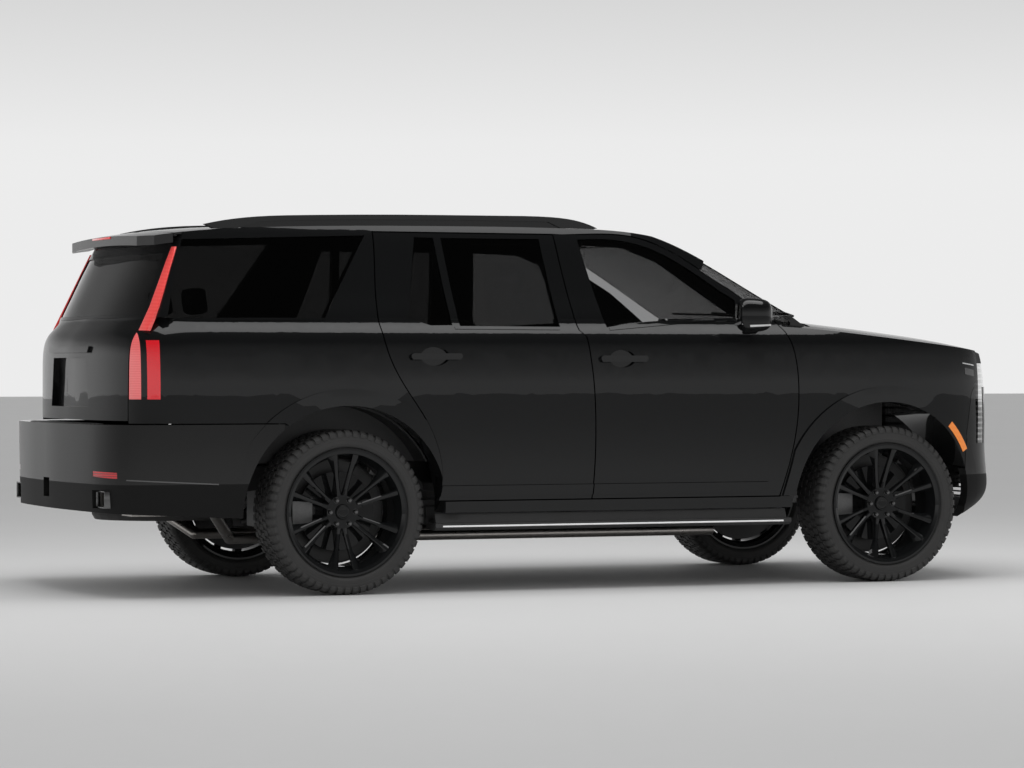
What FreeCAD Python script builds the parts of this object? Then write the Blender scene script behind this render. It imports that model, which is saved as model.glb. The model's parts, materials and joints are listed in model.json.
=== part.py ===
import FreeCAD, Part
import math
import os
from FreeCAD import Vector

# Driving dimensions of the whole vehicle, mm. +X forward, +Y left, +Z up, ground at z = 0.
wheelbase = 3071.0
front_axle_x = 1705.0
rear_axle_x = front_axle_x - wheelbase
track = 1737.0
lip_radius = 322.0
lip_inner_y = 124.0
tyre_radius = 417.0
tyre_width = 285.0
bead_radius = 305.0
axle_z = tyre_radius

# Clearances
shut_gap = 6.5
seat_gap = 0.3
glass_inset = 7.0
glass_thickness = 5.0

# Wall thicknesses
door_thickness = 75.0
relief_skin = 8.0
relief_width = 12.0
side_wall = 98.0
frame_depth = 45.0
pillar_wall = 60.0
ring_depth = 96.0
ring_wall = 50.0
panel_wall = 28.0
bumper_wall = 60.0

# Heights that several pieces share
belt_z = 1395.0
sill_z = 466.0
roof_side_y = 752.0
roof_edge_z = 1850.0
lamp_front_x = -2366.0
lamp_split_x = -2408.0
strip_x = (-2384.0, -2328.0)
strip_top_z = 1281.0
lamp_low_z = 988.0
lamp_top_x = -2268.0
lamp_top_z = 1740.0
arch_radius = 537.0
front_arch_radius = 545.0

# Half width of the lower body against height
side_table = ((300, 955), (420, 975), (560, 1000), (700, 1014), (850, 1022), (980, 1026), (1100, 1024),
              (1200, 1016), (1285, 1003), (1330, 981), (belt_z, 938))
# Fore and aft shift of the nose against height
nose_table = ((300, -260), (368, -75), (457, 0), (546, 15), (672, -5), (900, -12), (1138, -25), (1210, -45),
              (1300, -90), (belt_z, -180))
# Plan outline of the body from the tail centre to the nose centre, x against half width
plan_side = ((-1500, 1018), (-700, 1026), (200, 1026), (900, 1024), (1500, 1014), (1900, 996), (2150, 962),
             (2310, 900), (2430, 790), (2515, 600), (2597, 310), (2635, 0))
plan_body_tail = ((-2536, 0), (-2528, 300), (-2505, 560), (-2465, 760), (-2405, 890), (-2290, 968), (-2060, 1000))
plan_bumper_tail = ((-2650, 0), (-2640, 330), (-2615, 620), (-2572, 840), (-2500, 960), (-2360, 1008),
                    (-2060, 1018))
body_half_width = 1026.0
nose_blend_x = 1500.0
nose_reach = 1145.0
# How far the arch flares stand out from the body side against height
flare_table = ((300, 12), (930, 12), (1010, 9), (1060, 5), (belt_z, 4))
flare_width = 84.0
# Tail lean of the body against height
tail_table = ((300, 0), (980, 0), (1240, 0), (1330, 40), (belt_z, 88))

# Greenhouse: half width, windscreen centre line and backlight centre line against height
cabin_width_table = ((1325, 962), (belt_z, 934), (1500, 893), (1600, 858), (1700, 826), (1800, 795), (1850, 774),
                     (1890, 742), (1930, 700))
screen_table = ((1325, 1580), (belt_z, 1450), (1500, 1247), (1633, 1005), (1777, 725), (1850, 520), (1890, 360),
                (1930, 200))
backlight_table = ((1325, -2480), (belt_z, -2450), (1500, -2400), (1700, -2300), (1800, -2245), (1890, -2190),
                   (1930, -2150))
# Fall of the greenhouse surfaces away from their middle
cabin_side_mid_x = -600.0
cabin_side_front_fall = 30.0
cabin_side_rear_fall = 26.0
cabin_side_reach = 1600.0
screen_fall = 112.0
backlight_fall = 62.0
glass_fall_y = 700.0
# Run along x for each millimetre of depth behind the slanted glass faces
screen_rake = 2.1
backlight_rake = 1.12
side_rake = 1.06

# Roof and hood crown lines along the centre, and their side falls
roof_table = ((-2500, 1790), (-2200, 1846), (-1900, 1872), (-1500, 1888), (-1000, 1897), (-400, 1900), (100, 1894),
              (350, 1874), (520, 1842), (700, 1780), (1000, 1650))
roof_fall = 24.0
hood_table = ((1100, 1432), (1300, 1420), (1500, 1402), (1885, 1360), (2200, 1318), (2400, 1272), (2500, 1222),
              (2600, 1140), (2700, 1020))
hood_fall = 62.0
hood_fall_y = 900.0


def smooth(table, t):
    """Value at t on a curve through the table's points that never overshoots them."""
    if t <= table[0][0]:
        return table[0][1]
    if t >= table[-1][0]:
        return table[-1][1]
    rates = [(b[1] - a[1]) / (b[0] - a[0]) for a, b in zip(table, table[1:])]
    slopes = [rates[0]]
    for a, b in zip(rates, rates[1:]):
        slopes.append(0.0 if a * b <= 0 else 2 * a * b / (a + b))
    slopes.append(rates[-1])
    for i in range(len(rates)):
        x0, y0 = table[i]
        x1, y1 = table[i + 1]
        if t <= x1:
            h = x1 - x0
            q = (t - x0) / h
            ends = y0 * (1 + 2 * q) * (1 - q) ** 2 + y1 * q * q * (3 - 2 * q)
            return ends + h * q * (1 - q) * (slopes[i] * (1 - q) - slopes[i + 1] * q)
    return table[-1][1]


def ring_wire(half, z, inset, params):
    """Closed smooth plan section, set in by inset, from its left half."""
    out = []
    last = len(half) - 1
    for i, (x, y) in enumerate(half):
        ax, ay = half[i - 1] if i > 0 else (half[1][0], -half[1][1])
        bx, by = half[i + 1] if i < last else (half[last - 1][0], -half[last - 1][1])
        run = math.hypot(bx - ax, by - ay)
        out.append((x + inset * (by - ay) / run, y - inset * (bx - ax) / run))
    points = [Vector(x, y, z) for x, y in out]
    points += [Vector(x, -y, z) for x, y in reversed(out[1:-1])]
    if not params:
        params.append(0.0)
        for a, b in zip(points, points[1:] + points[:1]):
            params.append(params[-1] + (b - a).Length)
    curve = Part.BSplineCurve()
    curve.interpolate(Points=points, PeriodicFlag=True, Parameters=params)
    return Part.Wire(curve.toShape())


def lower_half(z, tail, flared):
    width = (smooth(side_table, z) + (smooth(flare_table, z) if flared else 0.0)) / body_half_width
    nose = smooth(nose_table, z)
    lean = smooth(tail_table, z) if tail is plan_body_tail else 0.0
    half = []
    for x, y in tail + plan_side:
        ahead = max(0.0, (x - nose_blend_x) / nose_reach)
        behind = max(0.0, (-2000.0 - x) / 536.0)
        half.append((x + nose * ahead + lean * behind, y * width))
    return half


body_levels = (300, 420, 560, 700, 850, 980, 1100, 1200, 1285, 1330, belt_z)


def lower_volume(inset, tail=plan_body_tail, flared=False):
    params = []
    return Part.makeLoft([ring_wire(lower_half(z, tail, flared), z, inset, params) for z in body_levels], True, False)


def grid_face(point, us, vs):
    """Smooth face through point(u, v) over the two lists of parameters."""
    surface = Part.BSplineSurface()
    surface.interpolate([[point(u, v) for v in vs] for u in us])
    return surface.toShape()


def spread(low, high, count):
    return [low + (high - low) * i / (count - 1) for i in range(count)]


def cabin_side_y(x, z):
    fall = cabin_side_front_fall if x > cabin_side_mid_x else cabin_side_rear_fall
    return smooth(cabin_width_table, z) - fall * ((x - cabin_side_mid_x) / cabin_side_reach) ** 2


def screen_x(y, z):
    return smooth(screen_table, z) - screen_fall * abs(y / glass_fall_y) ** 2.2


def backlight_x(y, z):
    return smooth(backlight_table, z) + backlight_fall * abs(y / glass_fall_y) ** 3


cabin_levels = [z for z, width in cabin_width_table]


def cabin_side_slab(inset, depth, x0=-2500.0, x1=1500.0):
    """Wall of the greenhouse on the left, its outer face set in by inset."""
    face = grid_face(lambda x, z: Vector(x, cabin_side_y(x, z) - inset * side_rake, z),
                     spread(x0, x1, 9), cabin_levels)
    return face.extrude(Vector(0, -depth * side_rake, 0))


def screen_slab(inset, depth):
    face = grid_face(lambda y, z: Vector(screen_x(y, z) - inset * screen_rake, y, z),
                     spread(-960, 960, 13), cabin_levels)
    return face.extrude(Vector(-depth * screen_rake, 0, 0))


def backlight_slab(inset, depth):
    face = grid_face(lambda y, z: Vector(backlight_x(y, z) + inset * backlight_rake, y, z),
                     spread(-960, 960, 13), cabin_levels)
    return face.extrude(Vector(depth * backlight_rake, 0, 0))


def crown_face(table, fall, fall_y, inset, x_range, y_half):
    """Crowned surface z(x, y), dropped by inset."""
    return grid_face(lambda x, y: Vector(x, y, smooth(table, x) - fall * (y / fall_y) ** 2 - inset),
                     spread(x_range[0], x_range[1], 15), spread(-y_half, y_half, 9))


def roof_slab(inset, depth):
    face = crown_face(roof_table, roof_fall, roof_side_y, inset, (-2560, 900), 1000)
    return face.extrude(Vector(0, 0, -depth))


def hood_z(x, y):
    return smooth(hood_table, x) - hood_fall * (y / hood_fall_y) ** 2


def hood_cap(inset):
    face = crown_face(hood_table, hood_fall, hood_fall_y, inset, (1000, 2720), 1080)
    return face.extrude(Vector(0, 0, -1300))


def mirrored(shape):
    return shape.mirror(Vector(0, 0, 0), Vector(0, 1, 0))


def box(x0, x1, y0, y1, z0, z1):
    return Part.makeBox(x1 - x0, y1 - y0, z1 - z0, Vector(x0, y0, z0))


def both(shape):
    return Part.makeCompound([shape, mirrored(shape)])


def cylinder(centre, axis, radius, length):
    return Part.makeCylinder(radius, length, Vector(*centre), Vector(*axis))


def run_edge(points, place):
    if len(points) == 2:
        return Part.makeLine(place(points[0]), place(points[1]))
    curve = Part.BSplineCurve()
    curve.interpolate([place(p) for p in points])
    return curve.toShape()


def closed_face(runs, place):
    """Flat face whose edge is the given runs, each smooth through its points."""
    loop = []
    for run, following in zip(runs, runs[1:] + runs[:1]):
        loop.append(run if run[-1] == following[0] else run + (following[0],))
    return Part.Face(Part.Wire([run_edge(run, place) for run in loop]))


def side_prism(runs, y0=200.0, y1=1300.0):
    """Outline drawn in side view, x against z, pushed through from y0 to y1."""
    return closed_face(runs, lambda p: Vector(p[0], y0, p[1])).extrude(Vector(0, y1 - y0, 0))


def rear_prism(runs, x0, x1):
    """Outline drawn in rear view, y against z."""
    return closed_face(runs, lambda p: Vector(x0, p[0], p[1])).extrude(Vector(x1 - x0, 0, 0))


def plan_prism(runs, z0, z1):
    """Outline drawn from above, x against y."""
    return closed_face(runs, lambda p: Vector(p[0], p[1], z0)).extrude(Vector(0, 0, z1 - z0))


def corners(*points):
    """Straight runs between the points given."""
    return [(a, b) for a, b in zip(points, points[1:] + points[:1])]


def fuse_all(shapes):
    return shapes[0].multiFuse(shapes[1:]).removeSplitter() if len(shapes) > 1 else shapes[0]


def round_bar(points, radius):
    """Bar along straight runs, with a ball at each inner corner."""
    pieces = []
    for a, b in zip(points, points[1:]):
        start = Vector(*a)
        span = Vector(*b) - start
        pieces.append(Part.makeCylinder(radius, span.Length, start, span))
    for p in points[1:-1]:
        pieces.append(Part.makeSphere(radius, Vector(*p)))
    return fuse_all(pieces)


# Shut lines in side view. A is ahead of the front door, B between the doors, C behind the rear door.
line_a = ((1102, 1344), (1141, 1246), (1164, 1069), (1155, 828), (1103, 579), (1072, sill_z))
line_b_low = ((-15, sill_z), (-12, 936), (-27, 1138), (-49, 1306))
line_b_high = ((-82, 1339), (-128, 1674), (-148, 1840))
line_c = ((-1150, 1840), (-1175, 1411), (-1166, 1289), (-1068, 1057), (-947, 879), (-880, 733), (-868, sill_z))
cant_rail = ((-148, 1840), (130, 1846), (318, 1832), (492, 1772), (682, 1663), (882, 1534), (1030, 1424),
             (1102, 1344))


def shifted(points, dx=0.0, dz=0.0):
    return tuple((x + dx, z + dz) for x, z in points)


def front_door_outline(grow):
    """Side view outline of the front door, grown by the given amount all round."""
    ahead = shifted(line_a[:-1], dx=grow) + ((line_a[-1][0] + grow, sill_z - grow),)
    top = shifted(cant_rail, dz=grow)
    behind_low = ((line_b_low[0][0] - grow, sill_z - grow),) + shifted(line_b_low[1:], dx=-grow)
    behind_high = shifted(line_b_high, dx=-grow)
    top = (behind_high[-1],) + top[1:-1] + (ahead[0],)
    return [ahead, (ahead[-1], behind_low[0]), behind_low, (behind_low[-1], behind_high[0]), behind_high, top]


def rear_door_outline(grow):
    ahead_high = tuple(reversed(shifted(line_b_high, dx=grow)))
    ahead_low = tuple(reversed(shifted(line_b_low[1:], dx=grow))) + ((line_b_low[0][0] + grow, sill_z - grow),)
    behind = shifted(line_c, dx=-grow)
    rear_top = (behind[0][0], behind[0][1] + grow)
    behind_up = tuple(reversed((rear_top,) + behind[1:-1] + ((behind[-1][0], sill_z - grow),)))
    top_ahead = (ahead_high[0][0], line_b_high[-1][1] + grow)
    ahead_high = (top_ahead,) + ahead_high[1:]
    return [(rear_top, top_ahead), ahead_high, (ahead_high[-1], ahead_low[0]), ahead_low,
            (ahead_low[-1], behind_up[0]), behind_up]


front_window = [((857, 1408), (625, 1400), (118, 1360), (81, 1354)), ((81, 1354), (-15, 1814)),
                ((-15, 1814), (118, 1819), (304, 1800), (473, 1742), (662, 1633), (862, 1502)),
                ((862, 1502), (857, 1408))]
rear_window_main = corners((-182, 1356), (-738, 1358), (-782, 1812), (-232, 1814))
rear_window_small = corners((-778, 1362), (-897, 1360), (-1008, 1396), (-926, 1816), (-822, 1812))
quarter_window = corners((-1457, 1397), (-2280, 1392), (-2165, 1788), (-1195, 1820))


outer_low = lower_volume(0)
flare_volume = lower_volume(0, flared=True)
door_low = lower_volume(door_thickness)
wall_low = lower_volume(side_wall)
moulding_volume = lower_volume(-9)
moulding_z = (490.0, 543.0)
front_grip = (16.0, 282.0, 1175.0, 1208.0)
rear_grip = (-1033.0, -755.0, 1186.0, 1218.0)
low_zone = box(-2700, 2700, 250, 1200, 200, belt_z)
high_zone = box(-2700, 2700, 250, 1200, belt_z, 2000)
under_roof = roof_slab(0, 700)


def side_skin(prism, low_inner, high_depth, low_outer=None, high_inset=0.0):
    """The part of the side wall inside a side view prism, lower body and greenhouse joined."""
    low = (low_outer or outer_low).common(prism.common(low_zone)).cut(low_inner)
    high = cabin_side_slab(high_inset, high_depth).common(prism.common(high_zone))
    return low.fuse(high)


def arch_cut(axle_x, radius):
    return cylinder((axle_x, 300, axle_z), (0, 1, 0), radius, 1000)


def arch_band(axle_x, inner, outer):
    """Ring round a wheel's axle, in side view, pushed through the body side."""
    return cylinder((axle_x, 800, axle_z), (0, 1, 0), outer, 400).cut(arch_cut(axle_x, inner))


def flare(axle_x, radius, wall):
    """Band round the wheel opening that stands a little out from the body side."""
    return flare_volume.common(arch_band(axle_x, radius, radius + flare_width)).cut(wall)


def handle_parts(x0, x1, z0, z1):
    """Pull bar on two feet, and the cup scooped out of the door behind it."""
    skin = smooth(side_table, (z0 + z1) / 2)
    mid = (z0 + z1) / 2
    bar = side_prism(corners((x0, mid - 3), (x0 + 9, z0), (x1 - 12, z0), (x1, mid - 5), (x1, mid + 8), (x1 - 8, z1),
                             (x0 + 12, z1), (x0, mid + 8)), skin + 9, skin + 22)
    feet = [box(x, x + 26, skin - 14, skin + 10, mid - 9, mid + 9) for x in (x0 + 14, x1 - 44)]
    low = ((x0 + 52, mid), (x0 + 74, mid - 30), (x1 - 82, mid - 30), (x1 - 58, mid))
    high = ((x1 - 58, mid), (x1 - 82, mid + 30), (x0 + 74, mid + 30), (x0 + 52, mid))
    cup = side_prism([low, high], skin - 20, skin + 40)
    return [bar] + feet, cup


def door_panel(outline, windows, grip, moulding_end, rear_line):
    prism = side_prism(outline(-shut_gap / 2))
    for window in windows:
        prism = prism.cut(side_prism(window))
    pull, cup = handle_parts(*grip)
    skin = side_skin(prism, door_low, frame_depth)
    strip = side_prism(corners((-1000, moulding_z[0]), (moulding_end - 30, moulding_z[0]),
                               (moulding_end, moulding_z[1]), (-1000, moulding_z[1])))
    strip = moulding_volume.common(strip.common(prism)).cut(lower_volume(20))
    return fuse_all([skin.cut(cup), strip] + pull).cut(edge_relief(rear_line))


def edge_relief(line):
    """Space at a door's rear edge, behind its outer skin, that lets the door swing out past its neighbour."""
    line = ((line[0][0], 2 * line[0][1] - line[1][1]),) + line + ((line[-1][0], 2 * line[-1][1] - line[-2][1]),)
    band = side_prism(corners(*(shifted(line, dx=-30) + shifted(line, dx=shut_gap / 2 + relief_width)[::-1])))
    low = lower_volume(relief_skin).common(band.common(low_zone))
    return low.fuse(cabin_side_slab(relief_skin, 200).common(band.common(high_zone)))


def pane(runs):
    return cabin_side_slab(glass_inset, glass_thickness).common(side_prism(runs))


def body_side():
    """Quarter panel, pillars, cant rail and sill as one wall with its two door openings."""
    outline = side_prism(corners((1176, sill_z - 60), (1176, 1290), (1330, 1410), (1120, 1560), (760, 1760),
                                 (420, 1925), (-2199, 1925), (-2199, 1780), (-2262, 1760),
                                 (lamp_top_x + seat_gap, lamp_top_z + seat_gap), (lamp_front_x + seat_gap, belt_z),
                                 (lamp_split_x + seat_gap, belt_z),
                                 (lamp_split_x + seat_gap, lamp_low_z - seat_gap), (-2620, lamp_low_z - seat_gap),
                                 (-2620, 868), (-1700, 868), (-860, sill_z - 60)))
    outline = outline.cut(arch_cut(front_axle_x, front_arch_radius + 8))
    outline = outline.cut(side_prism(front_door_outline(shut_gap / 2)))
    outline = outline.cut(side_prism(rear_door_outline(shut_gap / 2)))
    outline = outline.cut(side_prism(quarter_window))
    outline = outline.cut(arch_cut(rear_axle_x, arch_radius))
    outline = outline.cut(side_prism(fender_edge()))
    low = outer_low.common(outline.common(low_zone)).cut(wall_low)
    low = low.fuse(flare(rear_axle_x, arch_radius, wall_low).common(outline.common(low_zone)))
    high = cabin_side_slab(0, pillar_wall).common(outline.common(high_zone))
    high = high.common(under_roof).common(screen_slab(0, 2200)).common(backlight_slab(0, 2600))
    roof_space = box(-3000, 3000, 0, roof_side_y, roof_edge_z - 0.5, 2100)
    high = high.cut(roof_space)
    ring = side_prism(corners((1176, sill_z - 60), (1176, 1345), (860, 1570), (330, 1860),
                              (-1195, 1860), (-1240, 1290), (-890, 800), (-850, sill_z - 60)))
    ring = ring.cut(side_prism(corners((1040, 560), (1060, 1290), (850, 1430), (470, 1700), (280, 1775),
                                       (0, 1785), (60, 1300), (60, 560))))
    ring = ring.cut(side_prism(corners((-110, 560), (-110, 1300), (-240, 1785), (-900, 1785), (-1010, 1390),
                                       (-1010, 1160), (-800, 800), (-780, 560))))
    ring = ring.cut(arch_cut(rear_axle_x, arch_radius)).cut(arch_cut(front_axle_x, front_arch_radius + 8))
    ring = ring.cut(roof_space)
    inner = side_skin(ring, lower_volume(ring_depth + ring_wall), 35, lower_volume(ring_depth), frame_depth + 8)
    side = low.fuse(high).fuse(inner).cut(rear_prism(tailgate_outline(shut_gap), -2700, -2100))
    side = side.cut(box(-2800, -2199, 0, 741, 1740, 2000)).cut(box(-2800, -2199, 0, 1000, 1756, 2000))
    return side.cut(box(strip_x[0] - seat_gap, strip_x[1] + seat_gap, 700, 1100, lamp_low_z - seat_gap,
                        strip_top_z + seat_gap).cut(lower_volume(24 + seat_gap)))


header_z = 1815.0
cowl_wall = 22.0
cowl_drop = 6.0
glass_foot_z = 1425.0


tailgate_hinge = (-2200.5, 1841.0)
tailgate_pin_radius = 3.0
hinge_y = (90.0, 158.0)
lug_width = 8.0


def tailgate_pin():
    """Pin between two lugs at the back edge of the roof."""
    x, z = tailgate_hinge
    near, far = hinge_y
    lugs = [box(x - 3.5, x + 10, y, y + lug_width, z - 7, z + 2) for y in (near, far - lug_width)]
    return [cylinder((x, near, z), (0, 1, 0), tailgate_pin_radius, far - near)] + lugs


def tailgate_eye():
    """Eye on the tailgate that turns on the roof's pin."""
    x, z = tailgate_hinge
    y0 = hinge_y[0] + lug_width + seat_gap
    length = hinge_y[1] - hinge_y[0] - 2 * (lug_width + seat_gap)
    eye = cylinder((x, y0, z), (0, 1, 0), 5, length).fuse(box(x - 12, x - 2, y0, y0 + length, z - 4, z + 4))
    return eye.cut(cylinder((x, y0 - 1, z), (0, 1, 0), tailgate_pin_radius + seat_gap, length + 2))


def roof_panel():
    zone = plan_prism(corners((-2195, -roof_side_y + 0.5), (-2195, roof_side_y - 0.5), (700, roof_side_y - 0.5),
                              (700, -roof_side_y + 0.5)), header_z, 2000)
    skin = roof_slab(0, panel_wall).common(zone).common(screen_slab(0, 2600))
    door_space = side_prism(front_door_outline(shut_gap / 2), 640, 900)
    skin = skin.cut(left_side).cut(mirrored(left_side)).cut(door_space).cut(mirrored(door_space))
    pins = tailgate_pin()
    return skin.multiFuse(pins + [mirrored(pin) for pin in pins])


def windscreen():
    zone = rear_prism(corners((-900, glass_foot_z), (900, glass_foot_z), (800, header_z - seat_gap),
                              (-800, header_z - seat_gap)), 300, 1700)
    pillar = cabin_side_slab(0, pillar_wall + seat_gap)
    outside = cabin_side_slab(-200, 200)
    glass = screen_slab(glass_inset, 6).common(zone)
    return glass.cut(pillar.fuse(outside)).cut(mirrored(pillar.fuse(outside)))


def fender_edge():
    """Side view outline of everything ahead of the front door's leading shut line."""
    rear = shifted(line_a, dx=-shut_gap / 2)[::-1]
    return [rear, (rear[-1], (1105, 1410)), ((1105, 1410), (2700, 1410)), ((2700, 1410), (2700, 300)),
            ((2700, 300), (1200, 300)), ((1200, 300), (1200, sill_z)), ((1200, sill_z), rear[0])]


def hood_plan(grow):
    """Outline of the hood from above, grown by the given amount at its back and sides."""
    side = [(1322 - grow, 846 + grow), (1600, 868 + grow), (1900, 862 + grow), (2200, 815 + grow),
            (2400, 735 + grow), (2720, 560 + grow)]
    other = [(x, -y) for x, y in reversed(side)]
    back = [other[-1], (1378 - grow, -690), (1452 - grow, -380), (1478 - grow, 0), (1452 - grow, 380),
            (1378 - grow, 690), side[0]]
    return [tuple(side), (side[-1], other[0]), tuple(other), tuple(back)]


hood_lip_z = 1168.0
hood_gap = 6.0
fender_wall = 45.0


def front_outer(inset):
    return lower_volume(inset).common(hood_cap(inset))


hood_pin = (1250.0, 1330.0)
pin_radius = 6.0
hood_arm_y = (778.0, 788.0)
firewall_x = 1130.0
cowl_side_y = 840.0
cowl_gap = 15.0


def hood():
    """Hood panel with the two arms that carry it at its back corners."""
    zone = plan_prism(hood_plan(0), hood_lip_z, 1500)
    panel = outer_front.common(zone).cut(front_outer(panel_wall))
    x, z = hood_pin
    arm = side_prism(corners((x, z - 12), (1440, 1305), (1440, 1346), (1335, 1350), (1328, z + 8), (x, z + 12)),
                     *hood_arm_y)
    arm = arm.fuse(cylinder((x, hood_arm_y[0], z), (0, 1, 0), 12, hood_arm_y[1] - hood_arm_y[0]))
    arm = arm.cut(cylinder((x, 700, z), (0, 1, 0), pin_radius + seat_gap, 200))
    arm = arm.common(front_outer(3))
    return fuse_all([panel, arm, mirrored(arm)])


def hood_bracket():
    """Plate on the firewall with the pin that the hood's arm turns on."""
    x, z = hood_pin
    y = hood_arm_y[1] + seat_gap
    plate = side_prism(corners((1140, 1270), (x + 10, z - 14), (x + 12, z + 12), (x - 10, z + 12), (1140, 1299)),
                       y, y + 10)
    pin = cylinder((x, hood_arm_y[0] - 4, z), (0, 1, 0), pin_radius, y + 5 - hood_arm_y[0])
    return plate.fuse(pin)


def hood_back_x(y):
    """Back edge of the hood at a distance to the side, from above."""
    return smooth(((0, 1478), (380, 1452), (690, 1378), (846, 1322)), abs(y))


def cowl_ramp():
    """Sloping tray from just behind the hood's back edge up to the foot of the windscreen."""
    sections = []
    for y in spread(-cowl_side_y, cowl_side_y, 15):
        front_x = hood_back_x(y) - cowl_gap - 4
        back_x = screen_x(y, glass_foot_z) - glass_inset * screen_rake - 6
        front_z = hood_z(front_x, y)
        back_z = hood_z(back_x, y)
        sections.append(Part.makePolygon([Vector(front_x, y, front_z - cowl_drop - 14),
                                          Vector(front_x, y, front_z - cowl_drop - 3),
                                          Vector(back_x, y, glass_foot_z - seat_gap),
                                          Vector(back_x, y, back_z - cowl_drop - 14),
                                          Vector(front_x, y, front_z - cowl_drop - 14)]))
    return Part.makeLoft(sections, True, True)


def cowl():
    """Panel from the hood's back edge to the firewall, under the foot of the windscreen."""
    zone = box(firewall_x, 1500, -cowl_side_y, cowl_side_y, 1250, 1500)
    panel = front_outer(cowl_drop).common(zone).cut(front_outer(cowl_drop + cowl_wall))
    panel = panel.fuse(cowl_ramp()).cut(plan_prism(hood_plan(cowl_gap), 1200, 1500))
    notch = box(1225, 1400, hood_arm_y[0] - hood_gap, hood_arm_y[1] + hood_gap, 1250, 1500)
    return panel.cut(notch).cut(mirrored(notch)).cut(left_side).cut(mirrored(left_side))


marker_radii = (562.0, 598.0)
marker_angles = (29.0, 47.0)


def lamp_strip(grow):
    """Arc shaped block through the front flare where the side marker sits."""
    inner, outer = marker_radii[0] - grow, marker_radii[1] + grow
    points = []
    for radius, angles in ((inner, marker_angles), (outer, marker_angles[::-1])):
        a, b = [math.radians(angle) for angle in angles]
        run = []
        for i in range(4):
            t = a + (b - a) * i / 3.0
            run.append((front_axle_x + radius * math.cos(t), axle_z + radius * math.sin(t)))
        points.append(tuple(run))
    low, high = points
    return side_prism([low, (low[-1], high[0]), high, (high[-1], low[0])], 940, 1100)


def side_markers():
    """Amber lamps let into the front flares."""
    proud = lower_volume(-2, flared=True)
    return both(proud.common(lamp_strip(0)).cut(lower_volume(22)))


def front_fenders():
    """Wings with the curved liners over the front wheels."""
    ahead = side_prism(corners((1060, sill_z + 3), (1060, 1392), (1330, 1392), (1340, 1430), (2330, 1400),
                               (2330, 1110), (2262, 1000), (2215, 700), (2215, 440), (1300, 440),
                               (1200, sill_z + 3)))
    ahead = ahead.cut(side_prism(front_door_outline(shut_gap / 2)))
    wing = outer_front.common(ahead).cut(front_outer(fender_wall))
    band = flare(front_axle_x, front_arch_radius, lower_volume(fender_wall))
    band = band.common(ahead).cut(side_prism(front_door_outline(14)))
    wing = wing.fuse(band).cut(lamp_strip(seat_gap))
    liner = arch_liner(front_axle_x, front_arch_radius, 560).common(lower_volume(20))
    wing = wing.fuse(liner.common(box(1100, 2213, 500, 1100, 300, 1300)))
    wing = wing.cut(plan_prism(hood_plan(hood_gap), 900, 1500)).cut(arch_cut(front_axle_x, front_arch_radius))
    wing = wing.cut(box(1000, 1500, 0, cowl_side_y + 2 * hood_gap, 1200, 1500)).cut(left_side)
    return both(wing)


liner_wall = 5.0


def arch_liner(axle_x, radius, inner_y):
    """Curved inner skin over a wheel, open below the arch's feet."""
    outer = cylinder((axle_x, inner_y, axle_z), (0, 1, 0), radius + liner_wall, 985 - inner_y)
    skin = outer.cut(cylinder((axle_x, inner_y - 10, axle_z), (0, 1, 0), radius, 1100 - inner_y))
    return skin.common(box(axle_x - 700, axle_x + 700, 0, 1100, axle_z + 90, 1300))


def grille_outline(grow):
    """Rear view outline of the opening for the grille, grown by the given amount."""
    return corners((-565 - grow, 1160 + grow), (565 + grow, 1160 + grow), (505 + grow, 720 - grow),
                   (-505 - grow, 720 - grow))


def blade_outline(grow):
    return corners((806 - grow, 735 - grow), (884 + grow, 735 - grow), (904 + grow, 1060), (826 - grow, 1060))


def front_bumper():
    zone = side_prism(corners((2219, 440), (2219, 700), (2266, 1000), (2290, 1040), (2720, 1040), (2720, 330),
                              (2290, 330)), -1100, 1100)
    shape = lower_volume(0).common(zone).cut(lower_volume(bumper_wall))
    band = flare(front_axle_x, front_arch_radius, lower_volume(bumper_wall)).common(zone)
    shape = shape.multiFuse([band, mirrored(band)])
    shape = shape.cut(rear_prism(grille_outline(0), 2200, 2800))
    shape = shape.cut(rear_prism(corners((-600, 560), (600, 560), (540, 420), (-540, 420)), 2200, 2800))
    slot = rear_prism(blade_outline(0), 2200, 2800)
    shape = shape.cut(slot).cut(mirrored(slot))
    bracket = box(2484 + seat_gap, 2600, 250, 310, 568, 600).common(lower_volume(20))
    shape = shape.fuse(bracket).fuse(mirrored(bracket))
    for well in (arch_cut(front_axle_x, front_arch_radius), lamp_strip(seat_gap)):
        shape = shape.cut(well).cut(mirrored(well))
    return shape


def grille():
    """Framed grille with level bars, behind the opening in the bumper."""
    edge = rear_prism(grille_outline(-seat_gap), 2200, 2800)
    inner = rear_prism(grille_outline(-22), 2200, 2800)
    frame = edge.cut(inner)
    bars = [box(2200, 2800, -530, 530, z, z + 12).common(edge) for z in range(770, 1140, 46)]
    skin = frame.multiFuse(bars)
    return lower_volume(4).common(skin).cut(lower_volume(44))


def headlamps():
    blade = rear_prism(blade_outline(-seat_gap), 2334, 2800)
    upper = rear_prism(corners((568, 1044), (980, 1044), (980, 1165), (568, 1165)), 2334, 2800)
    lamp = lower_volume(3).common(blade.fuse(upper)).cut(lower_volume(50))
    return both(lamp)


def reflector_outline(grow):
    return corners((700 - grow, 632 + grow), (900 + grow, 626 + grow), (900 + grow, 596 - grow), (700 - grow, 604 - grow))


ledge_depth = 150.0


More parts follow.
